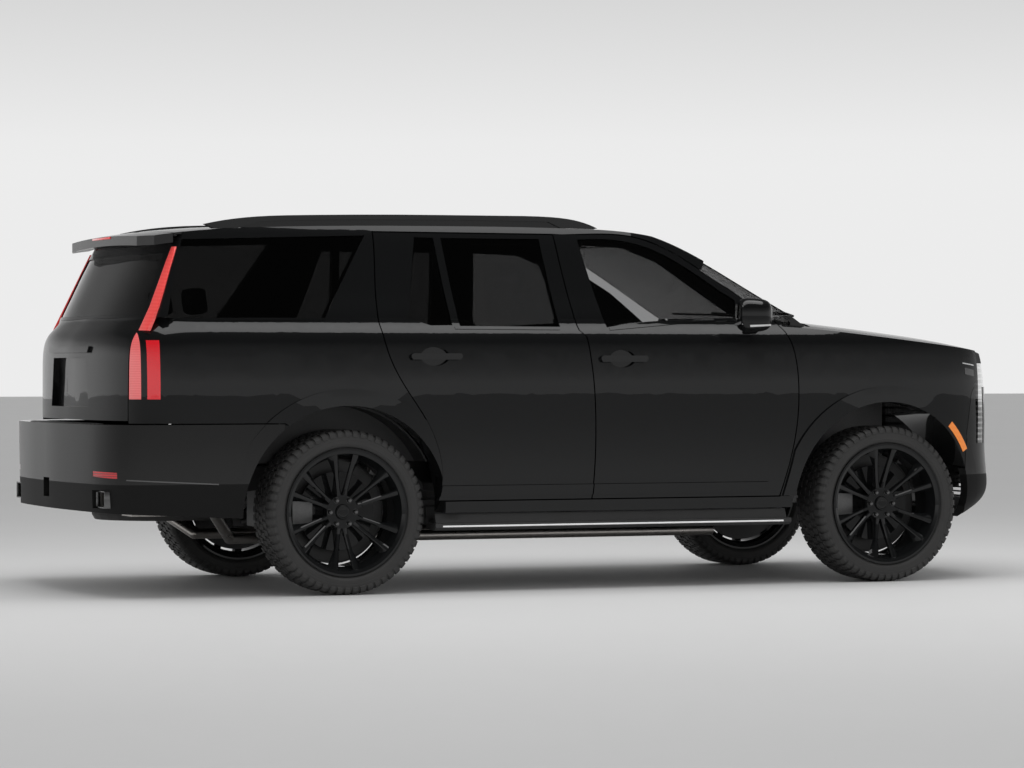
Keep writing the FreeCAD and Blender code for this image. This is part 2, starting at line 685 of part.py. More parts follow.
def rear_bumper():
    zone = side_prism(corners((-1700, 862), (-2700, 862), (-2700, 430), (-1880, 392), (-1780, 420)), -1100, 1100)
    shape = lower_volume(0, plan_bumper_tail).common(zone).cut(lower_volume(70, plan_bumper_tail))
    bracket = box(-2600, -2480 - seat_gap, 400, 460, 500, 590).common(lower_volume(20, plan_bumper_tail))
    band = flare(rear_axle_x, arch_radius, lower_volume(70, plan_bumper_tail)).common(zone)
    shape = shape.multiFuse([bracket, mirrored(bracket), band, mirrored(band)])
    slot = rear_prism(reflector_outline(seat_gap), -2700, -2300)
    shape = shape.cut(slot).cut(mirrored(slot))
    ledge = lower_volume(0, plan_bumper_tail).common(box(-2700, -2200, -1100, 1100, 835, 862))
    ledge = ledge.cut(lower_volume(ledge_depth, plan_bumper_tail))
    shape = shape.fuse(ledge).cut(box(-2700, -2400, -60, 60, 484, 582))
    for side in (1, -1):
        hole = box(-2700, -2400, 690, 850, 446, 536)
        shape = shape.cut(hole if side > 0 else mirrored(hole))
    shape = shape.cut(arch_cut(rear_axle_x, arch_radius))
    return shape.cut(mirrored(arch_cut(rear_axle_x, arch_radius)))


def tailgate_outline(grow):
    """Rear view outline of the whole tailgate below the spoiler, grown by the given amount."""
    right = [(800 + grow, 874 - grow), (806 + grow, belt_z), (712 + grow, 1812 + grow)]
    left = [(-y, z) for y, z in reversed(right)]
    return corners(*(right + left))


spoiler_side_y = 764.0


def tailgate():
    low = rear_prism(corners((-800, 880), (800, 880), (806, belt_z), (-806, belt_z)), -2700, -2150)
    shape = outer_low.common(low).cut(lower_volume(70))
    high = rear_prism(corners((-806, belt_z), (806, belt_z), (712, 1800), (-712, 1800)), -2700, -1900)
    high = high.cut(rear_prism(corners((-772, 1412), (772, 1412), (690, 1720), (-690, 1720)), -2700, -1900))
    y = spoiler_side_y
    spoiler = plan_prism([((-2345, -600), (-2356, 0), (-2345, 600)), ((-2345, 600), (-2300, y - 13)),
                          ((-2300, y - 13), (-2206, y)), ((-2206, y), (-2206, -y)),
                          ((-2206, -y), (-2300, 13 - y)), ((-2300, 13 - y), (-2345, -600))], 1700, 1900)
    spoiler = roof_slab(0, 48).common(spoiler)
    recess = rear_prism(corners((-300, 1196), (300, 1196), (352, 945), (-352, 945)), -2700, -2150)
    shape = shape.cut(recess.cut(lower_volume(34)))
    bar = rear_prism(corners((-374, 1254), (374, 1254), (360, 1222), (-360, 1222)), -2700, -2150)
    bar = lower_volume(-14).common(bar).cut(lower_volume(20))
    shape = shape.fuse(bar).fuse(backlight_slab(0, frame_depth).common(high)).fuse(spoiler)
    return shape.fuse(tailgate_eye()).fuse(mirrored(tailgate_eye()))


def tailgate_glass():
    zone = rear_prism(corners((-772, 1412), (772, 1412), (690, 1720), (-690, 1720)), -2700, -1900)
    return backlight_slab(glass_inset, glass_thickness).common(zone)


def tail_lamps():
    block = outer_low.common(box(-2600, lamp_split_x, 812, 1100, lamp_low_z, belt_z)).cut(lower_volume(60))
    strip = lower_volume(-1).common(box(*strip_x, 700, 1100, lamp_low_z, strip_top_z)).cut(lower_volume(24))
    reflector = lower_volume(1, plan_bumper_tail).common(rear_prism(reflector_outline(0), -2700, -2300))
    reflector = reflector.cut(lower_volume(16, plan_bumper_tail))
    blade = side_prism(corners((-2700, belt_z), (lamp_front_x, belt_z), (lamp_top_x, lamp_top_z), (-2700, lamp_top_z)),
                       600, 1000)
    corner = cabin_side_slab(0, 300).common(backlight_slab(0, 200)).common(blade)
    corner = corner.cut(rear_prism(corners((0, 1300), (814, 1300), (720, 1800), (0, 1800)), -2700, -1900))
    return both(Part.makeCompound([block.fuse(corner), strip, reflector]))


rail_top = ((-2035, 1868), (-1917, 1891), (-1749, 1910), (-1493, 1921), (-974, 1931), (-434, 1934), (-159, 1932),
            (-11, 1917), (120, 1876))
rail_y = 728.0


def roof_rails():
    top = rail_top
    under = [(x, z - 26) for x, z in rail_top[2:-2]]
    outline = [top, (top[-1], (60, 1862)), ((60, 1862), (-60, 1862)), ((-60, 1862), under[-1]),
               tuple(reversed(under)), (under[0], (-1860, 1850)), ((-1860, 1850), (-1990, 1846)),
               ((-1990, 1846), top[0])]
    rail = side_prism(outline, rail_y - 17, rail_y + 17)
    return both(rail.cut(roof_slab(-seat_gap, 300)))


step_x = (-890.0, 1130.0)
step_z = (316.0, 352.0)


def side_steps():
    """Boards under the sills on three arms each."""
    board = rear_prism(corners((862, 352), (862, 322), (980, 316), (1004, 330), (1004, 352)), step_x[0], step_x[1])
    arms = [box(x - 25, x + 25, 476, 880, 330, 350) for x in (-700, 100, 950)]
    pads = [box(x - 45, x + 45, 475 + seat_gap, 485, 330, 420) for x in (-700, 100, 950)]
    skirt = rear_prism(corners((940, 400), (965, 400), (985, 350), (960, 350)), step_x[0] + 10, step_x[1] - 20)
    return both(fuse_all([board] + arms + pads + [skirt]))


rail_inner_y = 385.0
rail_outer_y = 475.0
receiver_inside = 51.0
receiver_wall = 6.5


def chassis_frame():
    """Ladder frame: two side rails that rise over both axles, with cross members and the tow receiver."""
    rail = side_prism(corners((2440, 620), (2440, 480), (1420, 470), (1180, 330), (-900, 330), (-1110, 520),
                              (-1640, 520), (-1900, 490), (-2480, 490), (-2480, 600), (-1880, 610), (-1640, 640),
                              (-1060, 640), (-860, 455), (1120, 455), (1380, 600)), rail_inner_y, rail_outer_y)
    rails = [rail, mirrored(rail)]
    members = []
    for x0, x1, z0, z1 in ((2330, 2420, 500, 600), (1960, 2040, 480, 540), (1330, 1400, 480, 530), (480, 560, 345, 440),
                           (-200, -120, 345, 440), (-1060, -980, 470, 560), (-1660, -1590, 540, 620),
                           (-2470, -2400, 500, 590)):
        members.append(box(x0, x1, -rail_inner_y - 1, rail_inner_y + 1, z0, z1))
    half = receiver_inside / 2
    receiver = box(-2600, -2469, -half - receiver_wall, half + receiver_wall, 500, 500 + receiver_inside
                   + 2 * receiver_wall)
    bore = box(-2610, -2470, -half, half, 500 + receiver_wall, 500 + receiver_wall + receiver_inside)
    beam = box(2440, 2484, -450, 450, 500, 600)
    spine = box(-2401, -1659, -30, 30, 560, 600)
    winch = cylinder((spare_x, 0, 450 + seat_gap), (0, 0, 1), 40, 112)
    return fuse_all(rails + members + [receiver, beam, spine, winch]).cut(bore)


def floor_pan():
    """Cabin floor, firewall, rear floor and the houses over the rear wheels."""
    side_y = 862.0
    floor = side_prism(corners((1150, 476), (1150, 1300), (firewall_x, 1300), (firewall_x, 500), (-780, 500), (-1000, 680),
                               (-2400, 680), (-2400, 660), (-1015, 660), (-792, 476)), -side_y, side_y)
    houses = []
    house = cylinder((rear_axle_x, 690, axle_z), (0, 1, 0), arch_radius + 8, side_y - 690)
    well = cylinder((rear_axle_x, 695, axle_z), (0, 1, 0), arch_radius, side_y - 690)
    for part in (house, mirrored(house)):
        houses.append(part.common(box(-2400, -700, -900, 900, 665, 1200)))
    floor = floor.multiFuse(houses)
    floor = floor.cut(well).cut(mirrored(well))
    tunnel = box(-700, 1140, -125, 125, 476, 600).cut(box(-710, 1160, -112, 112, 400, 588))
    floor = floor.cut(box(-690, 1120, -112, 112, 470, 520)).fuse(tunnel)
    mounts = []
    for x in (1000, 200, -600):
        for y in (430, -430):
            mounts.append(cylinder((x, y, 455 + seat_gap), (0, 0, 1), 45, 476 - 455 - seat_gap))
    bracket = hood_bracket()
    top = box(firewall_x, 1150, -cowl_side_y, cowl_side_y, 1290, 1400).common(front_outer(cowl_drop + cowl_wall + seat_gap))
    floor = floor.multiFuse(mounts + [bracket, mirrored(bracket), top])
    return floor.cut(left_side).cut(mirrored(left_side))


def engine_block():
    return box(1405, 2050, -300, 300, 540 + seat_gap, 1180)


def exhaust():
    """Twin pipes under the floor to a silencer and a flat outlet at each rear corner."""
    path = [(1000, 300, 262), (-1760, 300, 262), (-1960, 590, 440)]
    pipe = round_bar(path, 28)
    silencer = box(-2400, -1940, 520, 700, 400, 520)
    outlet = box(-2560, -2390, 700, 840, 452, 530).cut(box(-2570, -2400, 706, 834, 458, 524))
    outlet = outlet.fuse(box(-2400, -2380, 640, 840, 452, 520))
    hanger = box(-2200, -2160, rail_outer_y + seat_gap, 560, 505, 530)
    return both(fuse_all([pipe, silencer, outlet, hanger]))


def fuel_tank():
    return box(-760, -215, 15, 262, 300, 476 - seat_gap)


spare_x = -2030.0
spare_radius = 365.0


def spare_wheel():
    profile = [(360, 60), (360, 150), (400, 190), (400, 290), (365, 305), (360, 350), (385, spare_radius),
               (515, spare_radius), (540, 345), (540, 300), (450, 280), (450, 60)]
    ring = faceted_ring(profile, Vector(spare_x, 0, 0), Vector(0, 0, 1), Vector(1, 0, 0), 32)
    hub = Part.makeCylinder(62, 90, Vector(spare_x, 0, 360))
    return ring.fuse(hub)


kingpin_y = 770.0
wheel_y = track / 2
hub_radius = 34.0
spindle_radius = hub_radius - seat_gap
spindle_length = 96.0
arm_level_y = 690.0


def front_suspension():
    """Upper and lower arms each side, and the rack across the frame."""
    pieces = []
    for z, arm_z, inner_z, spread_x in ((280, 274, 400, 190), (560, 566, 560, 130)):
        ball = cylinder((front_axle_x, kingpin_y, z - 14), (0, 0, 1), 26, 28)
        arms = [ball]
        for dx in (-spread_x, spread_x):
            level = (front_axle_x + dx * 0.25, arm_level_y, arm_z)
            arms.append(round_bar([(front_axle_x, kingpin_y - 20, arm_z), level,
                                   (front_axle_x + dx, 488, inner_z)], 13))
            arms.append(box(front_axle_x + dx - 28, front_axle_x + dx + 28, rail_outer_y, 492,
                            min(inner_z - 30, 480), max(inner_z + 30, 520)))
        pieces.append(arms)
    left = fuse_all(pieces[0] + pieces[1])
    return left


def knuckle():
    """Upright between the two ball joints, with the spindle and the caliper."""
    post = box(front_axle_x - 28, front_axle_x + 28, kingpin_y - 16, kingpin_y + 20, 280 + 14 + seat_gap,
               560 - 14 - seat_gap)
    boss = cylinder((front_axle_x, kingpin_y - 10, axle_z), (0, 1, 0), 60, 42)
    spindle = cylinder((front_axle_x, kingpin_y + 20, axle_z), (0, 1, 0), spindle_radius, spindle_length)
    return fuse_all([post, boss, spindle] + caliper(front_axle_x))


disc_radius = 200.0
disc_y = (-62.0, -32.0)


def caliper(axle_x):
    """Block over the rear upper edge of the disc and the arm that holds it."""
    body = box(axle_x - 245, axle_x - 140, wheel_y - 105, wheel_y, axle_z - 70, axle_z + 70)
    slot = box(axle_x - 260, axle_x - 100, wheel_y + disc_y[0] - 6, wheel_y + disc_y[1] + 6, axle_z - 90, axle_z + 90)
    slot = slot.common(cylinder((axle_x, wheel_y - 200, axle_z), (0, 1, 0), disc_radius + 8, 400))
    arm = box(axle_x - 200, axle_x, kingpin_y - 12, kingpin_y + 12, axle_z - 25, axle_z + 25)
    return [body.cut(slot), arm]


def rear_suspension():
    """Differential, half shafts, arms, cross beam and the carriers that hold the rear wheels."""
    x = rear_axle_x
    pieces = [box(x - 150, x + 150, -150, 150, axle_z - 110, axle_z + 110)]
    pieces.append(box(x - 60, x + 60, -rail_outer_y, rail_outer_y, axle_z + 60, 520 - seat_gap))
    pieces.append(box(x + 140, x + 200, -430, 430, axle_z - 120, axle_z - 60))
    pieces.append(box(x + 140, x + 180, -100, 100, axle_z - 100, axle_z + 60))
    for side in (1, -1):
        half = []
        half.append(round_bar([(x, 140, axle_z), (x, 770, axle_z)], 22))
        half.append(round_bar([(x + 170, 420, axle_z - 95), (x + 20, 790, axle_z - 120)], 18))
        half.append(round_bar([(x, 420, axle_z + 80), (x, 790, axle_z + 120)], 15))
        half.append(box(x - 28, x + 28, kingpin_y - 16, kingpin_y + 20, axle_z - 140, axle_z + 140))
        half.append(cylinder((x, kingpin_y - 10, axle_z), (0, 1, 0), 60, 42))
        half.append(cylinder((x, kingpin_y + 20, axle_z), (0, 1, 0), spindle_radius, spindle_length))
        half += caliper(x)
        pieces += half if side > 0 else [mirrored(h) for h in half]
    return fuse_all(pieces)


tyre_sides = 60


def tyre_profile():
    """Section of the tyre, across against radius, with its beads inside the rim's lips."""
    half = tyre_width / 2
    bead = lip_inner_y - seat_gap
    over = lip_radius + seat_gap + 1.5
    seat = bead_radius + seat_gap + 1.5
    side = [(bead, seat), (bead, over), (half, 354), (half - 3, 388), (half - 24, 411), (half - 70, tyre_radius)]
    return side + [(-y, r) for y, r in reversed(side)]


def flat_solid(faces):
    """Closed solid from flat faces, each given by its corners."""
    return Part.makeSolid(Part.makeShell([Part.Face(Part.makePolygon(f + f[:1])) for f in faces]))


def faceted_ring(profile, centre, axis, across, sides):
    """Closed solid of flat facets: the section (along axis, radius) set round the axis at even steps."""
    side_way = axis.cross(across)
    steps = []
    for i in range(sides):
        turn = 2 * math.pi * i / sides
        out = across * math.cos(turn) + side_way * math.sin(turn)
        steps.append([centre + axis * along + out * radius for along, radius in profile])
    faces = []
    for a, b in zip(steps, steps[1:] + steps[:1]):
        for i in range(len(profile)):
            j = (i + 1) % len(profile)
            faces.append([a[i], a[j], b[j], b[i]])
    return flat_solid(faces)


def tyre(axle_x):
    centre = Vector(axle_x, wheel_y, axle_z)
    return faceted_ring(tyre_profile(), centre, Vector(0, 1, 0), Vector(0, 0, 1), tyre_sides)


def wheel_solid(runs, axle_x):
    """Section turned about the wheel's axle on the left."""
    face = closed_face(runs, lambda p: Vector(axle_x, wheel_y + p[0], axle_z + p[1]))
    return face.revolve(Vector(axle_x, 0, axle_z), Vector(0, 1, 0), 360)


spoke_pair_count = 6
spoke_half_angle = 10.5
spoke_stations = ((60, 60, 15, 46, 0), (115, 62, 10, 42, 0), (190, 80, 10, 36, 2), (250, 101, 12, 34, 16),
                  (300, 117, 15, 40, 30))


def spoke(axle_x, angle, hand):
    """One spoke through faceted sections; hand is the side on which its outer facet flares."""
    wires = []
    for radius, face_y, half, depth, flare_out in spoke_stations:
        y0 = wheel_y + face_y
        section = [(-half, y0 - 5), (-half * 0.45, y0), (half * 0.55, y0), (half, y0 - 3),
                   (half + flare_out, y0 - 16 - flare_out * 0.5), (half * 0.7, y0 - depth), (-half * 0.7, y0 - depth)]
        points = [Vector(axle_x + a * hand, y, axle_z + radius) for a, y in section]
        wires.append(Part.makePolygon(points + points[:1]))
    shape = Part.makeLoft(wires, True, True)
    shape.rotate(Vector(axle_x, 0, axle_z), Vector(0, 1, 0), angle)
    return shape


def rim(axle_x):
    """Wheel with six pairs of spokes, hub, centre cap and brake disc."""
    lip = lip_inner_y
    barrel = wheel_solid(corners((lip + 11, lip_radius), (lip, lip_radius), (lip, bead_radius), (92, bead_radius),
                                 (60, 286), (-92, 286), (-104, bead_radius), (-lip, bead_radius),
                                 (-lip, lip_radius), (-lip - 11, lip_radius), (-lip - 11, 312), (-lip, 292),
                                 (-100, 278), (60, 276), (100, 290), (lip + 2, 296), (lip + 11, 312)), axle_x)
    hub = wheel_solid(corners((62, hub_radius), (62, 84), (20, 92), (-20, 92), (-32, 92), (-32, hub_radius)), axle_x)
    cap = wheel_solid(corners((73, 0), (73, 36), (56, 42), (40, 42), (40, 0)), axle_x)
    disc = wheel_solid(corners((disc_y[1], 60), (disc_y[1], disc_radius), (disc_y[0], disc_radius),
                               (disc_y[0], 130), (disc_y[0], 60)), axle_x)
    spokes = []
    for pair in range(spoke_pair_count):
        for lean in (-spoke_half_angle, spoke_half_angle):
            hand = math.copysign(1, lean)
            spokes.append(spoke(axle_x, pair * 360.0 / spoke_pair_count + lean, hand))
    disc_bore = cylinder((axle_x, wheel_y - 120, axle_z), (0, 1, 0), 64, 80)
    sleeve = cylinder((axle_x, wheel_y - 60, axle_z), (0, 1, 0), spindle_radius + seat_gap, 100)
    return fuse_all([barrel, hub, cap, disc] + spokes).cut(sleeve)


wheel_centre = (660.0, 400.0, 1030.0)
column_tilt = math.radians(24)
column_axis = Vector(-math.cos(column_tilt), 0, math.sin(column_tilt))


def seat(x, y, half, base_z, lift, height):
    """Cushion, back and head rest as one padded form on its base."""
    low = base_z + seat_gap
    top = base_z + lift
    return side_prism(corners((x + 60, low), (x + 60, top - 150), (x, top - 140), (x - 25, top), (x - 190, height),
                              (x - 175, height + 30), (x - 205, height + 190), (x - 105, height + 200),
                              (x - 90, height + 30), (x - 60, height), (x + 90, top), (x + 500, top - 30),
                              (x + 530, top - 100), (x + 500, top - 160), (x + 420, top - 160), (x + 420, low)),
                      y - half, y + half)


def dashboard():
    dash = side_prism(corners((1125, 780), (1125, 1120), (1000, 1130), (840, 1080), (800, 1000), (860, 900),
                              (900, 780)), -800, 800)
    console = box(60, 920, -125, 125, 600 + seat_gap, 800)
    shroud = Part.makeCylinder(40, 150, Vector(*wheel_centre) - column_axis * 120, column_axis * -1)
    return fuse_all([dash, console, shroud])


def steering_wheel():
    tilt = column_axis
    centre = Vector(*wheel_centre)
    section = [(15 * math.sin(math.radians(45 * i)), 182 + 15 * math.cos(math.radians(45 * i))) for i in range(8)]
    ring = faceted_ring(section, centre, tilt, Vector(0, 1, 0), 32)
    hub = Part.makeCylinder(62, 40, centre - tilt * 25, tilt)
    column = Part.makeCylinder(24, 95, centre - tilt * (120 - seat_gap), tilt)
    bars = []
    for angle in (0, 180, 270):
        bar = Part.makeBox(130, 30, 14, Vector(50, -15, -7))
        bar.rotate(Vector(0, 0, 0), Vector(0, 0, 1), angle)
        turn = FreeCAD.Rotation(Vector(0, 0, 1), tilt)
        bar.Placement = FreeCAD.Placement(centre, turn).multiply(bar.Placement)
        bars.append(bar)
    return fuse_all([ring, hub, column] + bars)


mirror_sections = ((1046, 866, 62, 1412, 60), (1080, 860, 96, 1420, 84), (1135, 852, 102, 1424, 88),
                   (1180, 846, 84, 1424, 72), (1192, 846, 60, 1424, 50))


def mirror_left():
    """Door mirror: rounded head through closed sections, on a foot from the door's front corner."""
    wires = []
    for y, x, half_x, z, half_z in mirror_sections:
        ring = []
        for i in range(16):
            a = math.radians(22.5 * i)
            across = math.copysign(abs(math.cos(a)) ** 0.7, math.cos(a))
            up = math.copysign(abs(math.sin(a)) ** 0.7, math.sin(a))
            ring.append(Vector(x + half_x * across, y, z + half_z * up))
        wires.append(Part.makePolygon(ring + ring[:1]))
    head = Part.makeLoft(wires, True, True)
    foot = side_prism(corners((835, 1318), (925, 1318), (915, 1376), (845, 1376)), 930, 1110)
    return head.fuse(foot)


outer_front = front_outer(0)


def write(name, shape):
    solids = [s for s in shape.Solids if s.Volume > 1.0]
    good = solids[0] if len(solids) == 1 else Part.makeCompound(solids)
    good.exportStep("parts/" + name + ".step")
    print(name, len(solids), good.isValid(), round(sum(s.Volume for s in solids) / 1e6, 2))


os.makedirs("parts", exist_ok=True)
front_panel = door_panel(front_door_outline, (front_window,), front_grip, 998.0, line_b_low + line_b_high)
rear_panel = door_panel(rear_door_outline, (rear_window_main, rear_window_small), rear_grip, 200.0, line_c)
front_glass = pane(front_window)
rear_glass = Part.makeCompound([pane(rear_window_main), pane(rear_window_small)])
write("door_front_left", front_panel)
write("door_front_right", mirrored(front_panel))
write("door_rear_left", rear_panel)
write("door_rear_right", mirrored(rear_panel))
write("door_glass_front_left", front_glass)
write("door_glass_rear_left", rear_glass)
left_side = body_side()
write("body_side_left", left_side)
write("body_side_right", mirrored(left_side))
write("quarter_glass", both(pane(quarter_window)))
write("roof_panel", roof_panel())
write("windscreen", windscreen())

write("hood", hood())
write("cowl", cowl())
write("front_fenders", front_fenders())
write("front_bumper", front_bumper())
write("grille", grille())
write("headlamps", headlamps())
write("side_markers", side_markers())
write("rear_bumper", rear_bumper())
write("tailgate", tailgate())
write("tailgate_glass", tailgate_glass())
write("tail_lamps", tail_lamps())
write("roof_rails", roof_rails())
write("side_steps", side_steps())
write("chassis_frame", chassis_frame())
write("floor_pan", floor_pan())
write("engine_block", engine_block())
write("exhaust", exhaust())
write("fuel_tank", fuel_tank())
write("spare_wheel", spare_wheel())
arms = front_suspension()
write("front_suspension", both(arms))
upright = knuckle()
write("knuckle_left", upright)
write("knuckle_right", mirrored(upright))
write("rear_suspension", rear_suspension())
write("front_seats", both(seat(110, 400, 260, 500, 300, 1200)))
write("middle_seats", both(seat(-780, 400, 250, 500, 300, 1200)))
write("rear_bench", seat(-1790, 0, 600, 680, 240, 1260))
write("dashboard", dashboard())
write("steering_wheel", steering_wheel())
mirror = mirror_left().cut(front_panel)
write("mirror_left", mirror)
write("mirror_right", mirrored(mirror))
for place, axle_x in (("front", front_axle_x), ("rear", rear_axle_x)):
    round_tyre = tyre(axle_x)
    wheel = rim(axle_x)
    write("tyre_" + place + "_left", round_tyre)
    write("tyre_" + place + "_right", mirrored(round_tyre))
    write("rim_" + place + "_left", wheel)
    write("rim_" + place + "_right", mirrored(wheel))
write("door_glass_front_right", mirrored(front_glass))
write("door_glass_rear_right", mirrored(rear_glass))
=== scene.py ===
import json
import math
import time
import bmesh
import bpy
from mathutils import Euler, Matrix, Vector


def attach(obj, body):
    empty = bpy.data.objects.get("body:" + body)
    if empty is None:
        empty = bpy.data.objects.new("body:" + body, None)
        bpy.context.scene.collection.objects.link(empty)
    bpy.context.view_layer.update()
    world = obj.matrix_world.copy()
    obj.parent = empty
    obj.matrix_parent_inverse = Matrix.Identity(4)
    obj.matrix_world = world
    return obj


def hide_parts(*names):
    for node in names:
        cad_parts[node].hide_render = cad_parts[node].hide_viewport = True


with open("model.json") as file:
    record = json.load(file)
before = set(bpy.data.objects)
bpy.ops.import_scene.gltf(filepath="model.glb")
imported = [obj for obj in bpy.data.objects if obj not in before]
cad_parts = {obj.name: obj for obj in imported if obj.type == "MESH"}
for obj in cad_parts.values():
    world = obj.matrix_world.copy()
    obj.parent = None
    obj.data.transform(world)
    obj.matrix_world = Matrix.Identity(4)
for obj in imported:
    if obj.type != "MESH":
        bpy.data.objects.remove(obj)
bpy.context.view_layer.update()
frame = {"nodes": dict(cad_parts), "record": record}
bpy.ops.object.select_all(action="DESELECT")
scene = bpy.context.scene
scene.view_settings.view_transform = "Standard"
print("frame loaded:", len(frame["nodes"]), "nodes")


# Shader maths: a wire wraps a socket, and expressions on wires add Math nodes
class Wire:
    def __init__(self, shader, socket):
        self.shader = shader
        self.socket = socket

    def maths(self, operation, a, b):
        return self.shader.node("ShaderNodeMath", {"operation": operation}, {0: a, 1: b})

    def __add__(self, other):
        return self.maths("ADD", self, other)

    def __sub__(self, other):
        return self.maths("SUBTRACT", self, other)

    def __rsub__(self, other):
        return self.maths("SUBTRACT", other, self)

    def __mul__(self, other):
        return self.maths("MULTIPLY", self, other)

    def __gt__(self, other):
        return self.maths("GREATER_THAN", self, other)

    def __lt__(self, other):
        return self.maths("LESS_THAN", self, other)

    __radd__ = __add__
    __rmul__ = __mul__


class Shader:
    def __init__(self, name):
        self.material = bpy.data.materials.new(name)
        self.material.use_nodes = True
        self.tree = self.material.node_tree
        self.tree.nodes.clear()
        self.surface = self.tree.nodes.new("ShaderNodeBsdfPrincipled")
        output = self.tree.nodes.new("ShaderNodeOutputMaterial")
        self.tree.links.new(self.surface.outputs[0], output.inputs[0])
        self.place = self.node("ShaderNodeTexCoord", output="Object")

    def node(self, kind, settings=None, inputs=None, output=0):
        made = self.tree.nodes.new(kind)
        for key, value in (settings or {}).items():
            if key == "stops":
                for index, (position, colour) in enumerate(value):
                    stops = made.color_ramp.elements
                    stop = stops[index] if index < 2 else stops.new(position)
                    stop.position = position
                    stop.color = colour
            else:
                setattr(made, key, value)
        for key, value in (inputs or {}).items():
            self.feed(made.inputs[key], value)
        return Wire(self, made.outputs[output])

    def feed(self, socket, value):
        if isinstance(value, Wire):
            self.tree.links.new(value.socket, socket)
        else:
            socket.default_value = value

    def set(self, **values):
        names = {"colour": "Base Color", "roughness": "Roughness", "metallic": "Metallic",
                 "coat": "Coat Weight", "coatRoughness": "Coat Roughness",
                 "transmission": "Transmission Weight", "ior": "IOR", "glow": "Emission Color",
                 "glowStrength": "Emission Strength", "normal": "Normal", "specular": "Specular IOR Level"}
        for key, value in values.items():
            self.feed(self.surface.inputs[names[key]], value)
        return self

    def noise(self, scale, detail=3.0, roughness=0.5):
        return self.node("ShaderNodeTexNoise", inputs={"Vector": self.place, "Scale": scale,
                                                       "Detail": detail, "Roughness": roughness})

    def mix(self, factor, a, b):
        return self.node("ShaderNodeMix", {"data_type": "RGBA"}, {0: factor, 6: a, 7: b}, output=2)

    def bump(self, height, strength, distance):
        return self.node("ShaderNodeBump", inputs={"Height": height, "Strength": strength,
                                                   "Distance": distance})

    def axes(self):
        split = self.node("ShaderNodeSeparateXYZ", inputs={0: self.place})
        return [Wire(self, split.socket.node.outputs[i]) for i in range(3)]


def grey(value, warm=0.0):
    return (value * (1 + warm), value, value * (1 - warm), 1.0)


# Finishes: values shared by the gloss paint and the two-tone bumpers
gloss = {"coat": 0.65, "coatRoughness": 0.015, "body": 0.0045, "lowPlastic": 0.010, "bumperSplit": 0.566}


def paintFinish(name, base, coatRoughness=gloss["coatRoughness"]):
    shader = Shader(name)
    tone = shader.mix(shader.noise(900.0, 2.0), grey(base * 0.75), grey(base * 1.3, -0.08))
    peel = shader.noise(160.0, 1.0)
    shader.set(colour=tone, roughness=0.32 + 0.06 * shader.noise(3.0), coat=gloss["coat"],
               coatRoughness=coatRoughness, specular=0.02, normal=shader.bump(peel, 0.012, 0.001))
    return shader.material


def twoToneFinish(name, base, split):
    # gloss paint above a height, satin plastic below it
    shader = Shader(name)
    low = shader.axes()[2] < split
    grain = shader.noise(420.0, 4.0)
    shader.set(colour=shader.mix(low, grey(base), grey(gloss["lowPlastic"])),
               roughness=0.3 + 0.22 * low, coat=gloss["coat"] - gloss["coat"] * low,
               coatRoughness=gloss["coatRoughness"], specular=0.08,
               normal=shader.bump(grain * low, 0.15, 0.0005))
    return shader.material


def plasticFinish(name, base, roughness, grain=420.0, depth=0.25, warm=0.0):
    shader = Shader(name)
    pores = shader.noise(grain, 4.0)
    shader.set(colour=shader.mix(shader.noise(14.0), grey(base * 0.86, warm), grey(base * 1.14, warm)),
               roughness=roughness - 0.05 + 0.1 * shader.noise(30.0),
               normal=shader.bump(pores, depth, 0.0006))
    return shader.material


def metalFinish(name, base, roughness, grain=60.0, depth=0.1, warm=0.0):
    shader = Shader(name)
    spots = shader.noise(grain, 5.0, 0.6)
    shader.set(colour=shader.mix(spots, grey(base * 0.8, warm), grey(base * 1.2, warm)), metallic=1.0,
               roughness=roughness - 0.08 + 0.16 * shader.noise(9.0),
               normal=shader.bump(spots, depth, 0.001))
    return shader.material


def rubberFinish(name, base=0.022):
    shader = Shader(name)
    dust = shader.noise(7.0, 5.0)
    shader.set(colour=shader.mix(dust, grey(base * 0.8), grey(base * 1.45, 0.03)),
               roughness=0.58 + 0.14 * dust, normal=shader.bump(shader.noise(700.0, 2.0), 0.25, 0.0004))
    return shader.material


def glassFinish(name, tint, roughness=0.0):
    shader = Shader(name)
    film = shader.noise(2.0)
    shader.set(colour=shader.mix(film, grey(tint * 0.95, -0.02), grey(tint * 1.05, 0.02)),
               roughness=roughness, transmission=1.0, ior=1.33)
    return shader.material


# Lamp lenses: where the looks change along X or Z, and how fine the ribs are
lamps = {"sideStrip": -2.396, "column": -2.452, "lightBars": 0.975, "lensRibs": 900.0,
         "tailRibs": 520.0, "headSteps": 210.0}


def lensFinish(name, low, high, glow, strength):
    shader = Shader(name)
    ribs = shader.node("ShaderNodeMath", {"operation": "SINE"}, {0: shader.axes()[2] * lamps["lensRibs"]})
    shader.set(colour=shader.mix(ribs * 0.5 + 0.5, low, high), roughness=0.12, coat=1.0, coatRoughness=0.02,
               glow=shader.mix(ribs * 0.5 + 0.5, glow, high), glowStrength=strength,
               normal=shader.bump(ribs, 0.25, 0.001))
    return shader.material


